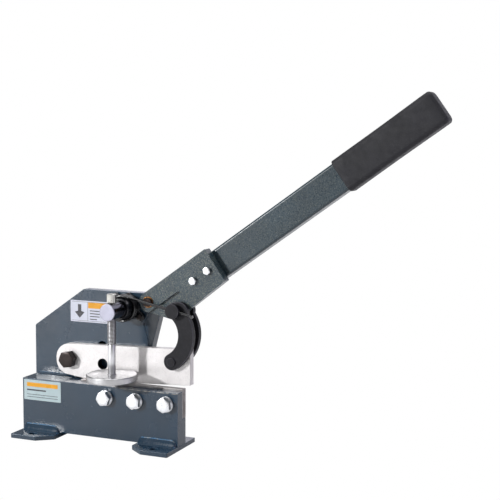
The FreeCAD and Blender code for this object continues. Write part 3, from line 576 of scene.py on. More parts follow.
def soft_vinyl(name, colour):
    """Matte dipped vinyl with a fine grain and rubbed, greyer patches."""
    vinyl = Surface(name, roughness=0.62, gloss=0.3)
    rubbed = vinyl.spread(vinyl.noise(0.03, 5), 0, 1, 0.35, 0.7)
    tint = vinyl.blend(rubbed, shade(colour, 0.8), shade(colour, 1.35))
    grain = vinyl.noise(0.0006, 3)
    vinyl.colour(vinyl.blend(vinyl.spread(grain, 0, 0.3, 0.55, 0.7), tint, shade(colour, 2.2)))
    vinyl.rough(vinyl.spread(vinyl.noise(0.008, 4), 0.52, 0.72))
    vinyl.bump(grain, 0.00006)
    vinyl.bump(vinyl.noise(0.01, 2), 0.0002)
    return vinyl.material


def film(name, colour, rough_low=0.3):
    """Printed plastic film with faint handling marks."""
    ink = Surface(name, roughness=rough_low)
    ink.colour(ink.blend(ink.spread(ink.noise(0.01, 5), 0, 1), shade(colour, 0.94), shade(colour, 1.03)))
    ink.rough(ink.spread(ink.noise(0.006, 4), rough_low, rough_low + 0.16))
    ink.bump(ink.noise(0.004, 2), 0.00002)
    return ink.material


MATERIALS = {}


def make_materials(colours):
    """All finishes of the shear, by name."""
    rod = centre("holddown_rod")
    bar = centre("cross_bar")
    bar_front, bar_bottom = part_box("cross_bar")[0].yz
    paint = tuple(colours.paint)
    MATERIALS.update({
        "paint": gloss_paint("slate_paint", paint),
        "base_paint": gloss_paint("slate_paint_base", paint, rubbed_top_edge),
        "paint_edge": worn_edge_paint("slate_paint_edge", paint, (0.22, 0.22, 0.21)),
        # Bead toes: edge paint three times lighter than the frame's, a painted highlight, chipped to bare
        # metal in places.
        "bead_toe_highlight": worn_edge_paint("slate_paint_bead_toe_highlight", shade(paint, 3.0), (0.34, 0.34, 0.31)),
        "hammered": hammered_paint("hammered_paint_coarse", tuple(colours.hammered), 0.0012, 0.6),
        "hammered_fine": hammered_paint("hammered_paint_fine", tuple(colours.hammered), 0.0010, 0.22),
        "hammered_edge": worn_edge_paint("hammered_paint_edge", tuple(colours.hammered), (0.12, 0.13, 0.13)),
        "blade": ground_steel("blade_steel", tuple(colours.blade), None, BAR_BORE),
        "blade_edge": ground_steel("blade_steel_edge", shade(colours.blade, 0.8)),
        "stained_shaded_blade": ground_steel("blade_steel_stained_shaded", shade(colours.blade, 0.85), oil_stain_and_painted_shade),
        "zinc": zinc_plate("zinc_plate", (0.62, 0.63, 0.65)),
        "black_oxide": dark_steel("black_oxide", (0.022, 0.016, 0.015), 0.26, 0.44, 0.6),
        "link_black": dark_steel("link_black", (0.008, 0.008, 0.011), 0.42, 0.56, 0.0, 0.2),
        "link_edge": dark_steel("link_edge", (0.05, 0.05, 0.062), 0.3, 0.45, 0.2),
        "bronze": bronze("bronze"),
        "vinyl": soft_vinyl("soft_vinyl", tuple(colours.grip)),
        "black_paint": gloss_paint("black_paint", (0.006, 0.007, 0.010)),
        "spring": dark_steel("spring_steel", (0.010, 0.010, 0.012), 0.14, 0.26, 0.0, 0.5),
        "bar": bar_steel("turned_steel_bar", (0.29, 0.29, 0.35), bar, bar_front),
        "disc": turned_steel("turned_steel_disc", (0.46, 0.46, 0.47), rod, "Z"),
        "rod": threaded_steel("threaded_steel", (0.60, 0.60, 0.62), rod, bar_bottom - THREAD_DROP),
        "knob": zinc_plate("knob_zinc", (0.58, 0.57, 0.54)),
        "film_silver": film("film_silver", (0.42, 0.52, 0.55), 0.25),
        "film_white": film("film_white", (0.60, 0.62, 0.72), 0.25),
        "film_amber": film("film_amber", (0.72, 0.32, 0.005), 0.25),
        "film_dark": film("film_dark", (0.03, 0.03, 0.04), 0.25),
    })


# ------------------------------------------------------------------ sizes and colours

class ShearColours(bpy.types.PropertyGroup):
    """Colours of the finishes."""
    paint: FloatVectorProperty(
        name="Paint", description="Colour of the frame's enamel", subtype="COLOR",
        default=(0.012, 0.031, 0.056), min=0, max=1,
    )
    hammered: FloatVectorProperty(
        name="Hammered paint", description="Colour of the lever's enamel", subtype="COLOR",
        default=(0.014, 0.032, 0.046), min=0, max=1,
    )
    blade: FloatVectorProperty(
        name="Blade", description="Colour of the ground blade steel", subtype="COLOR",
        default=(0.66, 0.64, 0.64), min=0, max=1,
    )
    grip: FloatVectorProperty(
        name="Grip", description="Colour of the grip's vinyl", subtype="COLOR",
        default=(0.018, 0.018, 0.022), min=0, max=1,
    )


class ShearSizes(bpy.types.PropertyGroup):
    """Sizes of the details that are made here."""
    edge: FloatProperty(
        name="Plate edges", description="Rounding of the plates' edges", subtype="DISTANCE",
        unit="LENGTH", default=0.0005, min=0, max=0.002,
    )
    rod_pitch: FloatProperty(
        name="Rod thread", description="Pitch of the hold-down rod's thread", subtype="DISTANCE",
        unit="LENGTH", default=0.0015, min=0.0005, max=0.004,
    )
    knurl: FloatProperty(
        name="Knurl", description="Spacing of the knurl on the disc's rim", subtype="DISTANCE",
        unit="LENGTH", default=0.0014, min=0.0005, max=0.005,
    )
    ripple: FloatProperty(
        name="Weld ripple", description="Spacing of the ripples of the weld beads", subtype="DISTANCE",
        unit="LENGTH", default=0.0032, min=0.001, max=0.01,
    )
    spring_turns: IntProperty(
        name="Spring turns", description="Turns of the return spring on its boss", default=3, min=2, max=6,
    )


# ------------------------------------------------------------------ operators

class SHEAR_OT_frame(bpy.types.Operator):
    """Paint the plates, blocks and feet, and round their edges"""
    bl_idname = "shear.frame"
    bl_label = "Plates and feet"

    def execute(self, context):
        edge = context.scene.shear_sizes.edge
        finish_node("front_plate", MATERIALS["base_paint"], MATERIALS["paint_edge"], edge)
        for node in ("side_plate", "left_foot", "right_foot"):
            finish_node(node, MATERIALS["paint"], MATERIALS["paint_edge"], edge)
        for node in ("pivot_spacer_block", "lower_spacer_bar"):
            finish_node(node, MATERIALS["paint"], MATERIALS["paint_edge"], edge)
        return {"FINISHED"}


def weld_bead(low, high, side, ripple, seed):
    """A fillet bead along X with overlapping ripples; side is -1 in front of its wall, 1 behind."""
    length = high.x - low.x
    legs = (high.y - low.y, high.z - low.z)
    wall = high.y if side < 0 else low.y
    count = int(length / ripple) * 6
    arc = 10
    rings = []
    for step in range(count + 1):
        x = length * step / count
        ends = min(1.0, min(x, length - x) / (0.9 * legs[1]))
        swell = 0.12 + 0.88 * math.sqrt(1 - (1 - ends) ** 2)
        swell *= 0.95 + 0.02 * abs(math.sin(math.pi * x / ripple))
        swell += 0.03 * noise.noise(Vector((x * 160, seed, 0)))
        ring = [Vector((low.x + x, wall, low.z))]
        for part in range(arc + 1):
            angle = math.pi / 2 * part / arc
            hollow = 1 - 0.30 * math.sin(2 * angle)
            reach = legs[0] * swell * math.cos(angle) * hollow
            rise = legs[1] * swell * math.sin(angle) * hollow
            rough = 0.00008 * noise.noise(Vector((x * 500, part * 0.9, seed)))
            ring.append(Vector((low.x + x, wall + side * (reach + rough), low.z + rise + rough * 0.4)))
        rings.append(ring)
    first = [sum(rings[0], Vector()) / len(rings[0])]
    last = [sum(rings[-1], Vector()) / len(rings[-1])]
    return skin([first] + rings + [last])


def mark_toes(piece):
    """Gives the thin strips where a bead meets the plates a lighter paint, a painted highlight along the
    toes.
    """
    low, high = (Vector(piece.bound_box[0]), Vector(piece.bound_box[6]))
    height = high.z - low.z
    for face in piece.data.polygons:
        rise = (face.center.z - low.z) / height
        if face.normal.y < 0.2 and (rise > TOE_TOP or rise < TOE_BOTTOM):
            face.material_index = 1


class SHEAR_OT_welds(bpy.types.Operator):
    """Lay rippled weld beads along the feet and at the side plate"""
    bl_idname = "shear.welds"
    bl_label = "Weld beads"

    def execute(self, context):
        ripple = context.scene.shear_sizes.ripple
        runs = (
            ("front_weld_beads", -1, "feet"), ("rear_weld_beads", 1, "feet"),
            ("side_plate_weld_bead", -1, "one"),
        )
        for seed, (node, side, kind) in enumerate(runs):
            low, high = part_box(node)
            if kind == "one":
                spans = [(low.x, high.x)]
            else:
                left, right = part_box("left_foot"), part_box("right_foot")
                spans = [(low.x, left[1].x - 1.5 * MM), (right[0].x + 1.5 * MM, high.x)]
            beads = []
            for start, end in spans:
                beads.append(weld_bead(
                    Vector((start, low.y, low.z)), Vector((end, high.y, high.z)), side, ripple, seed + start,
                ))
            skins = [MATERIALS["paint"], MATERIALS["bead_toe_highlight"]]
            piece = make_piece(node + "_rippled", joined(beads), skins, "frame", (node,), 60)
            mark_toes(piece)
        return {"FINISHED"}


class SHEAR_OT_blades(bpy.types.Operator):
    """Finish both blades and the bush of the upper one"""
    bl_idname = "shear.blades"
    bl_label = "Blades"

    def execute(self, context):
        edge = context.scene.shear_sizes.edge
        finish_node("upper_blade", MATERIALS["blade"], MATERIALS["blade_edge"], 0.6 * edge)
        finish_node("lower_blade", MATERIALS["stained_shaded_blade"], MATERIALS["blade_edge"], 0.5 * edge)
        finish_node("blade_pivot_bush", MATERIALS["bronze"], None, 0.4 * edge)
        return {"FINISHED"}


def washer(inner, outer, height):
    """A washer with broken edges, from 0 to its height."""
    nick = 0.18 * height
    profile = (
        (inner, nick), (inner + nick, 0), (outer - nick, 0), (outer, nick),
        (outer, height - nick), (outer - nick, height), (inner + nick, height), (inner, height - nick),
    )
    return turned(profile, 72, closed=True)


def hex_nut(flats, height, bore):
    """A nut chamfered on its outer face, with a countersunk thread hole."""
    segments = 72
    solid = hex_head(flats, height, segments)
    vertices, faces = solid
    faces = [face for face in faces if 0 not in face and len(vertices) - 1 not in face]
    inner_top = circle(bore * 1.12, height, segments)
    rings = [inner_top, circle(bore, height - 0.12 * bore, segments), circle(bore, 0.0, segments)]
    start = len(vertices)
    for ring in rings:
        vertices.extend(ring)
    outer_top = 1
    outer_base = 1 + 3 * segments
    for step in range(segments):
        after = (step + 1) % segments
        faces.append([outer_top + step, outer_top + after, start + after, start + step])
        for row in (0, 1):
            one = start + row * segments
            two = one + segments
            faces.append([one + step, one + after, two + after, two + step])
        base = start + 2 * segments
        faces.append([base + step, base + after, outer_base + after, outer_base + step])
    return vertices, faces


class SHEAR_OT_blade_bolts(bpy.types.Operator):
    """Make the bolts and washers that hold the lower blade"""
    bl_idname = "shear.blade_bolts"
    bl_label = "Lower blade bolts"

    def execute(self, context):
        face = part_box("front_plate")[0].y
        washer_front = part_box("lower_blade_washers")[0].y
        head_front, shank_end = (corner.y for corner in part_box("lower_blade_bolts"))
        heads, rings = [], []
        for count, point in enumerate(bolt_row("lower_blade_washers", BLADE_WASHER, 3)):
            spin = Matrix.Rotation(math.radians(BLADE_BOLT_TURNS[count]), 4, "Z")
            place = facing_front(point, washer_front)
            heads.append(moved(hex_head(BLADE_BOLT_FLATS, washer_front - head_front), place @ spin))
            thread = threaded(BLADE_BOLT - 0.1 * MM, 0.6 * MM, 1.5 * MM, shank_end - washer_front, 0.2 * MM)
            heads.append(moved(thread, facing_front(point, shank_end)))
            ring = washer(BLADE_BOLT, BLADE_WASHER, face - washer_front)
            rings.append(moved(ring, facing_front(point, face)))
        zinc = [MATERIALS["zinc"]]
        bolts, washers = ("lower_blade_bolts",), ("lower_blade_washers",)
        make_piece("hex_bolts_lower_blade", joined(heads), zinc, "frame", bolts)
        make_piece("washers_lower_blade", joined(rings), zinc, "frame", washers)
        return {"FINISHED"}


def pivot_nut_set(name, nut_node, washer_node, bore, flats, material):
    """Nut and washer behind the side plate."""
    point = centre(nut_node)
    low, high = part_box(nut_node)
    behind = Matrix.Rotation(math.pi, 4, "X")
    nut = moved(hex_nut(flats, high.y - low.y, bore), facing_front(point, low.y) @ behind)
    washer_low, washer_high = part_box(washer_node)
    radius = (washer_high.x - washer_low.x) / 2
    ring = moved(washer(bore, radius, washer_high.y - washer_low.y), facing_front(point, washer_high.y))
    make_piece(name + "_nut", nut, [material], "frame", (nut_node,))
    make_piece(name + "_washer", ring, [material], "frame", (washer_node,))


def pivot_stem(point, start, plain_end, thread_end, radius, depth, pitch):
    """A bolt's plain shank and its thread, from the front to the back."""
    run = plain_end - start
    shank = turned(((0, 0), (radius, 0), (radius, run), (0, run)))
    thread = threaded(radius, depth, pitch, thread_end - plain_end, 0.3 * MM)
    return [moved(shank, facing_front(point, plain_end)), moved(thread, facing_front(point, thread_end))]


class SHEAR_OT_pivots(bpy.types.Operator):
    """Make the pivot bolts of the blade and of the lever, with their nuts and washers"""
    bl_idname = "shear.pivots"
    bl_label = "Pivot bolts"

    def execute(self, context):
        dark = MATERIALS["black_oxide"]
        low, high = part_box("blade_pivot_bolt")
        point = centre("blade_pivot_washer")
        head_back = low.y + BLADE_PIVOT_HEAD
        spin = Matrix.Rotation(math.radians(BLADE_PIVOT_TURN), 4, "Z")
        head = moved(hex_head(BLADE_PIVOT_FLATS, BLADE_PIVOT_HEAD), facing_front(point, head_back) @ spin)
        plain_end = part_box("blade_pivot_washer")[1].y
        stem = pivot_stem(point, head_back, plain_end, high.y, BLADE_PIVOT, 0.6 * MM, 1.75 * MM)
        bolt = joined([head] + stem)
        make_piece("blade_pivot_hex_bolt", bolt, [dark], "frame", ("blade_pivot_bolt",))
        nut, ring = "blade_pivot_nut", "blade_pivot_washer"
        pivot_nut_set("blade_pivot", nut, ring, BLADE_PIVOT, BLADE_PIVOT_FLATS, dark)

        low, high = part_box("lever_pivot_bolt")
        point = centre("lever_pivot_washer")
        radius = (high.x - low.x) / 2
        thick = LEVER_PIVOT_HEAD
        plain_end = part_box("lever_pivot_washer")[1].y
        profile = (
            (0, thick), (0.55 * radius, thick), (0.62 * radius, 0.8 * thick), (0.78 * radius, 0.8 * thick),
            (0.84 * radius, thick), (radius - 0.3 * MM, thick), (radius, thick - 0.3 * MM),
            (radius, 0), (0, 0),
        )
        head_back = low.y + thick
        head = moved(turned(profile), facing_front(point, head_back))
        stem = pivot_stem(point, head_back, plain_end, high.y, LEVER_PIVOT, 0.5 * MM, 1.25 * MM)
        bolt = joined([head] + stem)
        make_piece("lever_pivot_headed_bolt", bolt, [dark], "frame", ("lever_pivot_bolt",))
        nut, ring = "lever_pivot_nut", "lever_pivot_washer"
        pivot_nut_set("lever_pivot", nut, ring, LEVER_PIVOT, LEVER_PIVOT_FLATS, dark)
        return {"FINISHED"}


def rounded_section(x, low_y, high_y, low_z, high_z, radius, per_corner=8):
    """Points of a rounded rectangle across the lever."""
    radius = min(radius, (high_y - low_y) / 2, (high_z - low_z) / 2)
    middles = (
        (high_y - radius, high_z - radius), (low_y + radius, high_z - radius),
        (low_y + radius, low_z + radius), (high_y - radius, low_z + radius),
    )
    points = []
    for quarter, (y, z) in enumerate(middles):
        for step in range(per_corner + 1):
            angle = math.pi / 2 * (quarter + step / per_corner)
            points.append(Vector((x, y + radius * math.cos(angle), z + radius * math.sin(angle))))
    return points


def grip_skin():
    """A dipped sleeve: a lip where it starts, slightly waisted, and a rounded closed end."""
    place = lever_place()
    low, high = box_in("grip", place)
    tube_low, tube_high = box_in("lever_tube", place)
    corner = 5.5 * MM
    end_round = 4.5 * MM
    length = high.x - low.x
    stations = [(0.0, 1.35), (0.05 * MM, 0.55), (0.45 * MM, 0.12), (1.2 * MM, 0.0)]
    stations += [(length * share, 0.0) for share in (0.05, 0.12, 0.22, 0.34, 0.46, 0.58, 0.7, 0.82, 0.9)]
    for step in range(1, 9):
        angle = math.pi / 2 * step / 8
        stations.append((length - end_round * (1 - math.sin(angle)), end_round / MM * (1 - math.cos(angle))))
    rings = []
    for x, inset in stations:
        share = x / length
        waist = 0.25 * math.sin(math.pi * share) ** 2
        shrink = (inset + waist) * MM
        rings.append(rounded_section(
            low.x + x, low.y + shrink, high.y - shrink, low.z + shrink, high.z - shrink,
            max(1.2 * MM, corner - 0.4 * shrink),
        ))
    tube_sides = (tube_low.y, tube_high.y, tube_low.z, tube_high.z)
    hollow_end = high.x - GRIP_END
    inner = rounded_section(low.x, *tube_sides, TUBE_CORNER)
    inner_end = rounded_section(hollow_end, *tube_sides, TUBE_CORNER)
    middle_y, middle_z = (low.y + high.y) / 2, (low.z + high.z) / 2
    tip = [Vector((high.x, middle_y, middle_z))]
    hollow = [Vector((hollow_end, middle_y, middle_z))]
    return moved(skin([hollow, inner_end, inner] + rings + [tip]), place)


class SHEAR_OT_lever(bpy.types.Operator):
    """Finish the lever plate and tube, pull the grip over it and fit its bolts"""
    bl_idname = "shear.lever"
    bl_label = "Lever"

    def execute(self, context):
        edge = context.scene.shear_sizes.edge
        finish_node("lever_plate", MATERIALS["hammered"], MATERIALS["hammered_edge"], 0.0)
        finish_node("lever_tube", MATERIALS["hammered_fine"], MATERIALS["hammered_edge"], 0.3 * edge)
        finish_node("lever_pivot_bush", MATERIALS["bronze"], None, 0.4 * edge)
        make_piece("grip_sleeve", grip_skin(), [MATERIALS["vinyl"]], "lever", ("grip",), 50)

        heads, rings, nuts = [], [], []
        head_front, shank_end = (corner.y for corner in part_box("lever_bolts"))
        plate_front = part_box("lever_plate")[0].y
        washer_low, washer_high = (corner.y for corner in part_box("lever_bolt_washers"))
        nut_low, nut_high = (corner.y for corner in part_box("lever_bolt_nuts"))
        behind = Matrix.Rotation(math.pi, 4, "X")
        for count, point in enumerate(bolt_row("lever_bolt_washers", LEVER_WASHER, 2)):
            spin = Matrix.Rotation(math.radians(LEVER_BOLT_TURNS[count]), 4, "Z")
            head = hex_head(LEVER_BOLT_FLATS, plate_front - head_front)
            heads.append(moved(head, facing_front(point, plate_front) @ spin))
            thread = threaded(LEVER_BOLT, 0.35 * MM, 0.8 * MM, shank_end - plate_front, 0.2 * MM)
            heads.append(moved(thread, facing_front(point, shank_end)))
            ring = washer(LEVER_BOLT, LEVER_WASHER, washer_high - washer_low)
            rings.append(moved(ring, facing_front(point, washer_high)))
            nut = hex_nut(LEVER_BOLT_FLATS, nut_high - nut_low, LEVER_BOLT)
            nuts.append(moved(nut, facing_front(point, nut_low) @ behind @ spin))
        zinc = [MATERIALS["zinc"]]
        make_piece("hex_bolts_lever", joined(heads), zinc, "lever", ("lever_bolts",))
        make_piece("washers_lever", joined(rings), zinc, "lever", ("lever_bolt_washers",))
        make_piece("nuts_lever", joined(nuts), zinc, "lever", ("lever_bolt_nuts",))
        return {"FINISHED"}


class SHEAR_OT_links(bpy.types.Operator):
    """Finish the curved links and their two pins"""
    bl_idname = "shear.links"
    bl_label = "Links and pins"

    def execute(self, context):
        edge = context.scene.shear_sizes.edge
        for node in ("front_link", "rear_link"):
            finish_node(node, MATERIALS["link_black"], MATERIALS["link_edge"], 1.2 * edge)
        for node in ("upper_link_pin", "lower_link_pin", "upper_pin_clip"):
            finish_node(node, MATERIALS["link_black"], MATERIALS["link_edge"], 0.7 * edge)
        return {"FINISHED"}


def knurled_disc(radius, thickness, knurl):
    """A disc with a crossed knurl round its rim and a shallow step inside its top edge."""
    around = int(2 * math.pi * radius / knurl)
    segments = around * 4
    rim_low, rim_high = 0.9 * MM, thickness - 0.9 * MM
    rows = int((rim_high - rim_low) / knurl * 4)
    depth = 0.28 * MM
    rings = [
        circle(0, 0, segments), circle(radius * 0.5, 0, segments), circle(radius - 0.9 * MM, 0, segments),
    ]
    for row in range(rows + 1):
        height = rim_low + (rim_high - rim_low) * row / rows
        lift = (height - rim_low) / knurl

        def crossed(angle, lift=lift):
            turns = angle / (2 * math.pi) * around
            one = abs((turns + lift) % 1.0 - 0.5)
            two = abs((turns - lift) % 1.0 - 0.5)
            return radius - depth * 2 * min(one, two)

        rings.append(circle(1, height, segments, crossed))
    rings += [
        circle(radius - 0.9 * MM, thickness, segments), circle(radius - 1.9 * MM, thickness, segments),
        circle(radius - 2.2 * MM, thickness - 0.25 * MM, segments),
        circle(radius * 0.6, thickness - 0.25 * MM, segments),
        circle(radius * 0.3, thickness - 0.25 * MM, segments), circle(0, thickness - 0.25 * MM, segments),
    ]
    return skin(rings)


class SHEAR_OT_hold_down(bpy.types.Operator):
    """Make the hold-down: bracket, bar, threaded rod, knob and knurled disc"""
    bl_idname = "shear.hold_down"
    bl_label = "Hold-down"

    def execute(self, context):
        sizes = context.scene.shear_sizes
        finish_node("holddown_bracket", MATERIALS["black_paint"], None, 1.2 * sizes.edge, 3)
        finish_node("bracket_screws", MATERIALS["black_oxide"], None, 0.8 * sizes.edge)
        finish_node("bar_set_screw", MATERIALS["black_oxide"], None, 0.4 * sizes.edge)
        finish_node("cross_bar", MATERIALS["bar"], None, 1.4 * sizes.edge, 3)
        finish_node("rod_knob", MATERIALS["knob"], None, 0.9 * sizes.edge, 3)
        finish_node("disc_retaining_ring", MATERIALS["rod"], None, 0.3 * sizes.edge)

        low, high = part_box("holddown_rod")
        middle = centre("holddown_rod")
        thread_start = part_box("cross_bar")[0].z - THREAD_DROP
        radius = (high.x - low.x) / 2
        plain = ROD_PLAIN
        place = Matrix.Translation((middle.x, middle.y, low.z))
        run = thread_start - low.z
        profile = (
            (0, 0), (plain - 0.4 * MM, 0), (plain, 0.4 * MM),
            (plain, run - 0.8 * MM), (plain - 0.3 * MM, run), (0, run),
        )
        stem = moved(turned(profile), place)
        thread_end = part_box("rod_knob")[0].z
        screw = threaded(radius, 0.85 * MM, sizes.rod_pitch, thread_end - thread_start, 0.1 * MM, 48)
        screw = moved(screw, Matrix.Translation((middle.x, middle.y, thread_start)))
        spigot = ROD_SPIGOT
        rise = high.z - thread_end
        end = turned(((0, 0), (spigot, 0), (spigot, rise - 0.3 * MM), (spigot - 0.3 * MM, rise), (0, rise)))
        end = moved(end, Matrix.Translation((middle.x, middle.y, thread_end)))
        rod = joined([stem, screw, end])
        make_piece("threaded_rod", rod, [MATERIALS["rod"]], "rod", ("holddown_rod",), 50)

        low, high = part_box("holddown_disc")
        disc = knurled_disc((high.x - low.x) / 2, high.z - low.z, sizes.knurl)
        disc = moved(disc, Matrix.Translation((middle.x, middle.y, low.z)))
        make_piece("knurled_disc", disc, [MATERIALS["disc"]], "disc", ("holddown_disc",), 40)
        return {"FINISHED"}


class SHEAR_OT_spring(bpy.types.Operator):
    """Wind the return spring round its boss and finish its long arm"""
    bl_idname = "shear.spring"
    bl_label = "Return spring"

    def execute(self, context):
        sizes = context.scene.shear_sizes
        low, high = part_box("return_spring_coil")
        middle = centre("return_spring_coil")
        wire = SPRING_WIRE
        radius = (high.x - low.x) / 2 - wire
        per_turn = 40
        steps = sizes.spring_turns * per_turn
        curve = bpy.data.curves.new("spring_coil", "CURVE")
        curve.dimensions = "3D"
        curve.bevel_depth = wire
        curve.bevel_resolution = 5
        curve.use_fill_caps = True
        line = curve.splines.new("POLY")
        line.points.add(steps)
        for step in range(steps + 1):
            angle = math.radians(70) + 2 * math.pi * step / per_turn
            y = low.y + wire + (high.y - low.y - 2 * wire) * step / steps
            x = middle.x + radius * math.cos(angle)
            line.points[step].co = (x, y, middle.z + radius * math.sin(angle), 1)
        line.use_smooth = True
        coil = bpy.data.objects.new("spring_coil", curve)
        context.scene.collection.objects.link(coil)
        curve.materials.append(MATERIALS["spring"])
        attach(coil, "frame")
        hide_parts("return_spring_coil")
        finish_node("return_spring_arm", MATERIALS["spring"])
        return {"FINISHED"}


def rounded_panel(x0, x1, z0, z1, radius, per_corner=5):
    """Corner points of a rounded panel in the XZ plane, as (x, z)."""
    points = []
    middles = (
        (x1 - radius, z1 - radius), (x0 + radius, z1 - radius),
        (x0 + radius, z0 + radius), (x1 - radius, z0 + radius),
    )
    for quarter, (x, z) in enumerate(middles):
        for step in range(per_corner + 1):
            angle = math.pi / 2 * (quarter + step / per_corner)
            points.append((x + radius * math.cos(angle), z + radius * math.sin(angle)))
    return points


def layer(outline, front, back):
    """A thin solid from an outline of (x, z) points."""
    middle_x = sum(x for x, z in outline) / len(outline)
    middle_z = sum(z for x, z in outline) / len(outline)
    rings = [
        [Vector((middle_x, front, middle_z))], [Vector((x, front, z)) for x, z in outline],
        [Vector((x, back, z)) for x, z in outline], [Vector((middle_x, back, middle_z))],
    ]
    return skin(rings)


def label(name, node, sheet, prints):
    """A film label: a rounded sheet with thin printed panels, each (outline in shares, material)."""
    low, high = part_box(node)
    ink = 0.04 * MM
    solids = [layer(rounded_panel(low.x, high.x, low.z, high.z, 0.9 * MM), low.y + ink, high.y)]
    materials = [MATERIALS[sheet]]
    owners = [0]
    for outline, material in prints:
        points = [(low.x + (high.x - low.x) * x, low.z + (high.z - low.z) * z) for x, z in outline]
        solids.append(layer(points, low.y, low.y + 1.5 * ink))
        if MATERIALS[material] not in materials:
            materials.append(MATERIALS[material])
        owners.append(materials.index(MATERIALS[material]))
    indices = []
    for owner, solid in zip(owners, solids):
        indices.extend([owner] * len(solid[1]))
    piece = make_piece(name, joined(solids), materials, "frame", (node,))
    piece.data.polygons.foreach_set("material_index", indices)


def bar(x0, x1, z0, z1):
    """Corners of a plain printed bar, in shares of its label."""
    return ((x0, z0), (x1, z0), (x1, z1), (x0, z1))


class SHEAR_OT_labels(bpy.types.Operator):
    """Stick on the two blank labels, with plain bands and rules in place of any words"""
    bl_idname = "shear.labels"
    bl_label = "Labels"

    def execute(self, context):
        base = [(bar(0.08, 0.92, 0.66, 0.86), "film_amber"), (bar(0.08, 0.60, 0.46, 0.53), "film_dark")]
        base += [(bar(0.08, 0.92, 0.26 - 0.12 * row, 0.285 - 0.12 * row), "film_dark") for row in range(2)]
        label("base_plate_label", "base_label", "film_silver", base)
        arrow = (
            (0.245, 0.18), (0.375, 0.46), (0.29, 0.46), (0.29, 0.82),
            (0.20, 0.82), (0.20, 0.46), (0.115, 0.46),
        )
        safety = [
            (bar(0.035, 0.965, 0.05, 0.065), "film_dark"), (bar(0.035, 0.965, 0.935, 0.95), "film_dark"),
            (bar(0.46, 0.468, 0.065, 0.935), "film_dark"), (arrow, "film_dark"),
            (bar(0.475, 0.965, 0.66, 0.93), "film_amber"),
        ]
        for row in range(4):
            drop = 0.13 * row
            safety.append((bar(0.52, 0.92 - 0.07 * row, 0.52 - drop, 0.565 - drop), "film_dark"))
        label("side_plate_label", "safety_label", "film_white", safety)
        return {"FINISHED"}


def area_light(name, place, size, power, colour=(1, 1, 1)):
    """A round soft light that faces the shear."""
    light = bpy.data.lights.new(name, "AREA")
    light.shape = "DISK"
    light.size = size
    light.energy = power
    light.color = colour
    lamp = bpy.data.objects.new(name, light)
    bpy.context.scene.collection.objects.link(lamp)
    lamp.location = place
    lamp.rotation_euler = (Vector(LIGHT_TARGET) - Vector(place)).to_track_quat("-Z", "Y").to_euler()
    return lamp


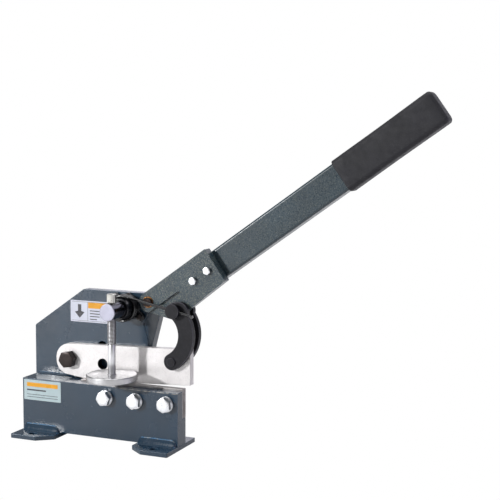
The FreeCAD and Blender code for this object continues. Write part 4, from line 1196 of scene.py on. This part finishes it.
class SHEAR_OT_stage(bpy.types.Operator):
    """Set up the hidden pale floor, the soft lights and the camera"""
    bl_idname = "shear.stage"
    bl_label = "Stage, lights and camera"

    def execute(self, context):
        scene = context.scene
        world = bpy.data.worlds.new("Studio")
        scene.world = world
        world.use_nodes = True
        nodes = world.node_tree.nodes
        links = world.node_tree.links
        background = nodes["Background"]
        background.inputs["Color"].default_value = (1.0, 1.0, 1.0, 1.0)
        path = nodes.new("ShaderNodeLightPath")
        level = nodes.new("ShaderNodeMapRange")
        level.inputs["To Min"].default_value = 0.22
        level.inputs["To Max"].default_value = 1.0
        links.new(path.outputs["Is Camera Ray"], level.inputs["Value"])
        links.new(level.outputs["Result"], background.inputs["Strength"])

        mesh = bpy.data.meshes.new("floor")
        reach = 6.0
        height = CAD_BOX[0][2] - 0.2 * MM
        corners = [(-reach, -reach), (reach, -reach), (reach, reach), (-reach, reach)]
        mesh.from_pydata([(x, y, height) for x, y in corners], [], [(0, 1, 2, 3)])
        floor = bpy.data.objects.new("floor", mesh)
        scene.collection.objects.link(floor)
        paper = Surface("floor_paper", roughness=0.7)
        paper.colour(paper.blend(paper.noise(0.4, 3), (0.93, 0.93, 0.93), (0.95, 0.95, 0.95)))
        paper.bump(paper.noise(0.002, 2), 0.00003)
        mesh.materials.append(paper.material)
        floor.visible_diffuse = False
        floor.visible_camera = False

        area_light("key_light", (-1.08, -1.50, 0.66), 0.08, 36.0)
        area_light("right_light", (1.7, 0.2, 0.6), 1.0, 3.6, (0.72, 0.64, 1.0))
        area_light("back_light", (0.0, 2.5, 0.8), 3.2, 30.0, (0.92, 0.90, 1.0))
        sun = bpy.data.lights.new("top_light", "SUN")
        sun.energy = 2.4
        sun.angle = math.radians(70)
        lamp = bpy.data.objects.new("top_light", sun)
        scene.collection.objects.link(lamp)

        camera = bpy.data.cameras.new("camera")
        camera.sensor_width = 36.0
        camera.lens = CAMERA_LENS
        camera.clip_start = 0.05
        viewer = bpy.data.objects.new("camera", camera)
        scene.collection.objects.link(viewer)
        swing, dip, roll = (math.radians(angle) for angle in CAMERA_SWING_DIP_ROLL)
        aim = Matrix.Rotation(swing, 4, "Z") @ Matrix.Rotation(math.pi / 2 - dip, 4, "X")
        viewer.matrix_world = Matrix.Translation(CAMERA_PLACE) @ aim @ Matrix.Rotation(roll, 4, "Z")
        scene.camera = viewer
        scene.view_settings.view_transform = "Standard"
        return {"FINISHED"}


OPERATORS = (
    SHEAR_OT_frame, SHEAR_OT_welds, SHEAR_OT_blades, SHEAR_OT_blade_bolts, SHEAR_OT_pivots, SHEAR_OT_lever,
    SHEAR_OT_links, SHEAR_OT_hold_down, SHEAR_OT_spring, SHEAR_OT_labels, SHEAR_OT_stage,
)


class SHEAR_PT_panel(bpy.types.Panel):
    """Lists the steps that finish the shear"""
    bl_idname = "SHEAR_PT_panel"
    bl_label = "Plate shear"
    bl_space_type = "VIEW_3D"
    bl_region_type = "UI"
    bl_category = "Shear"

    def draw(self, context):
        for group in (context.scene.shear_sizes, context.scene.shear_colours):
            for name in group.__annotations__:
                self.layout.prop(group, name)
        for operator in OPERATORS:
            self.layout.operator(operator.bl_idname)


CLASSES = (ShearColours, ShearSizes) + OPERATORS + (SHEAR_PT_panel,)


def register():
    for entry in CLASSES:
        bpy.utils.register_class(entry)
    bpy.types.Scene.shear_sizes = PointerProperty(type=ShearSizes)
    bpy.types.Scene.shear_colours = PointerProperty(type=ShearColours)


def unregister():
    del bpy.types.Scene.shear_colours
    del bpy.types.Scene.shear_sizes
    for entry in reversed(CLASSES):
        bpy.utils.unregister_class(entry)


def main():
    """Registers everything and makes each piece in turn."""
    register()
    make_materials(bpy.context.scene.shear_colours)
    for operator in OPERATORS:
        group, name = operator.bl_idname.split(".")
        getattr(getattr(bpy.ops, group), name)()


if __name__ == "__main__":
    main()
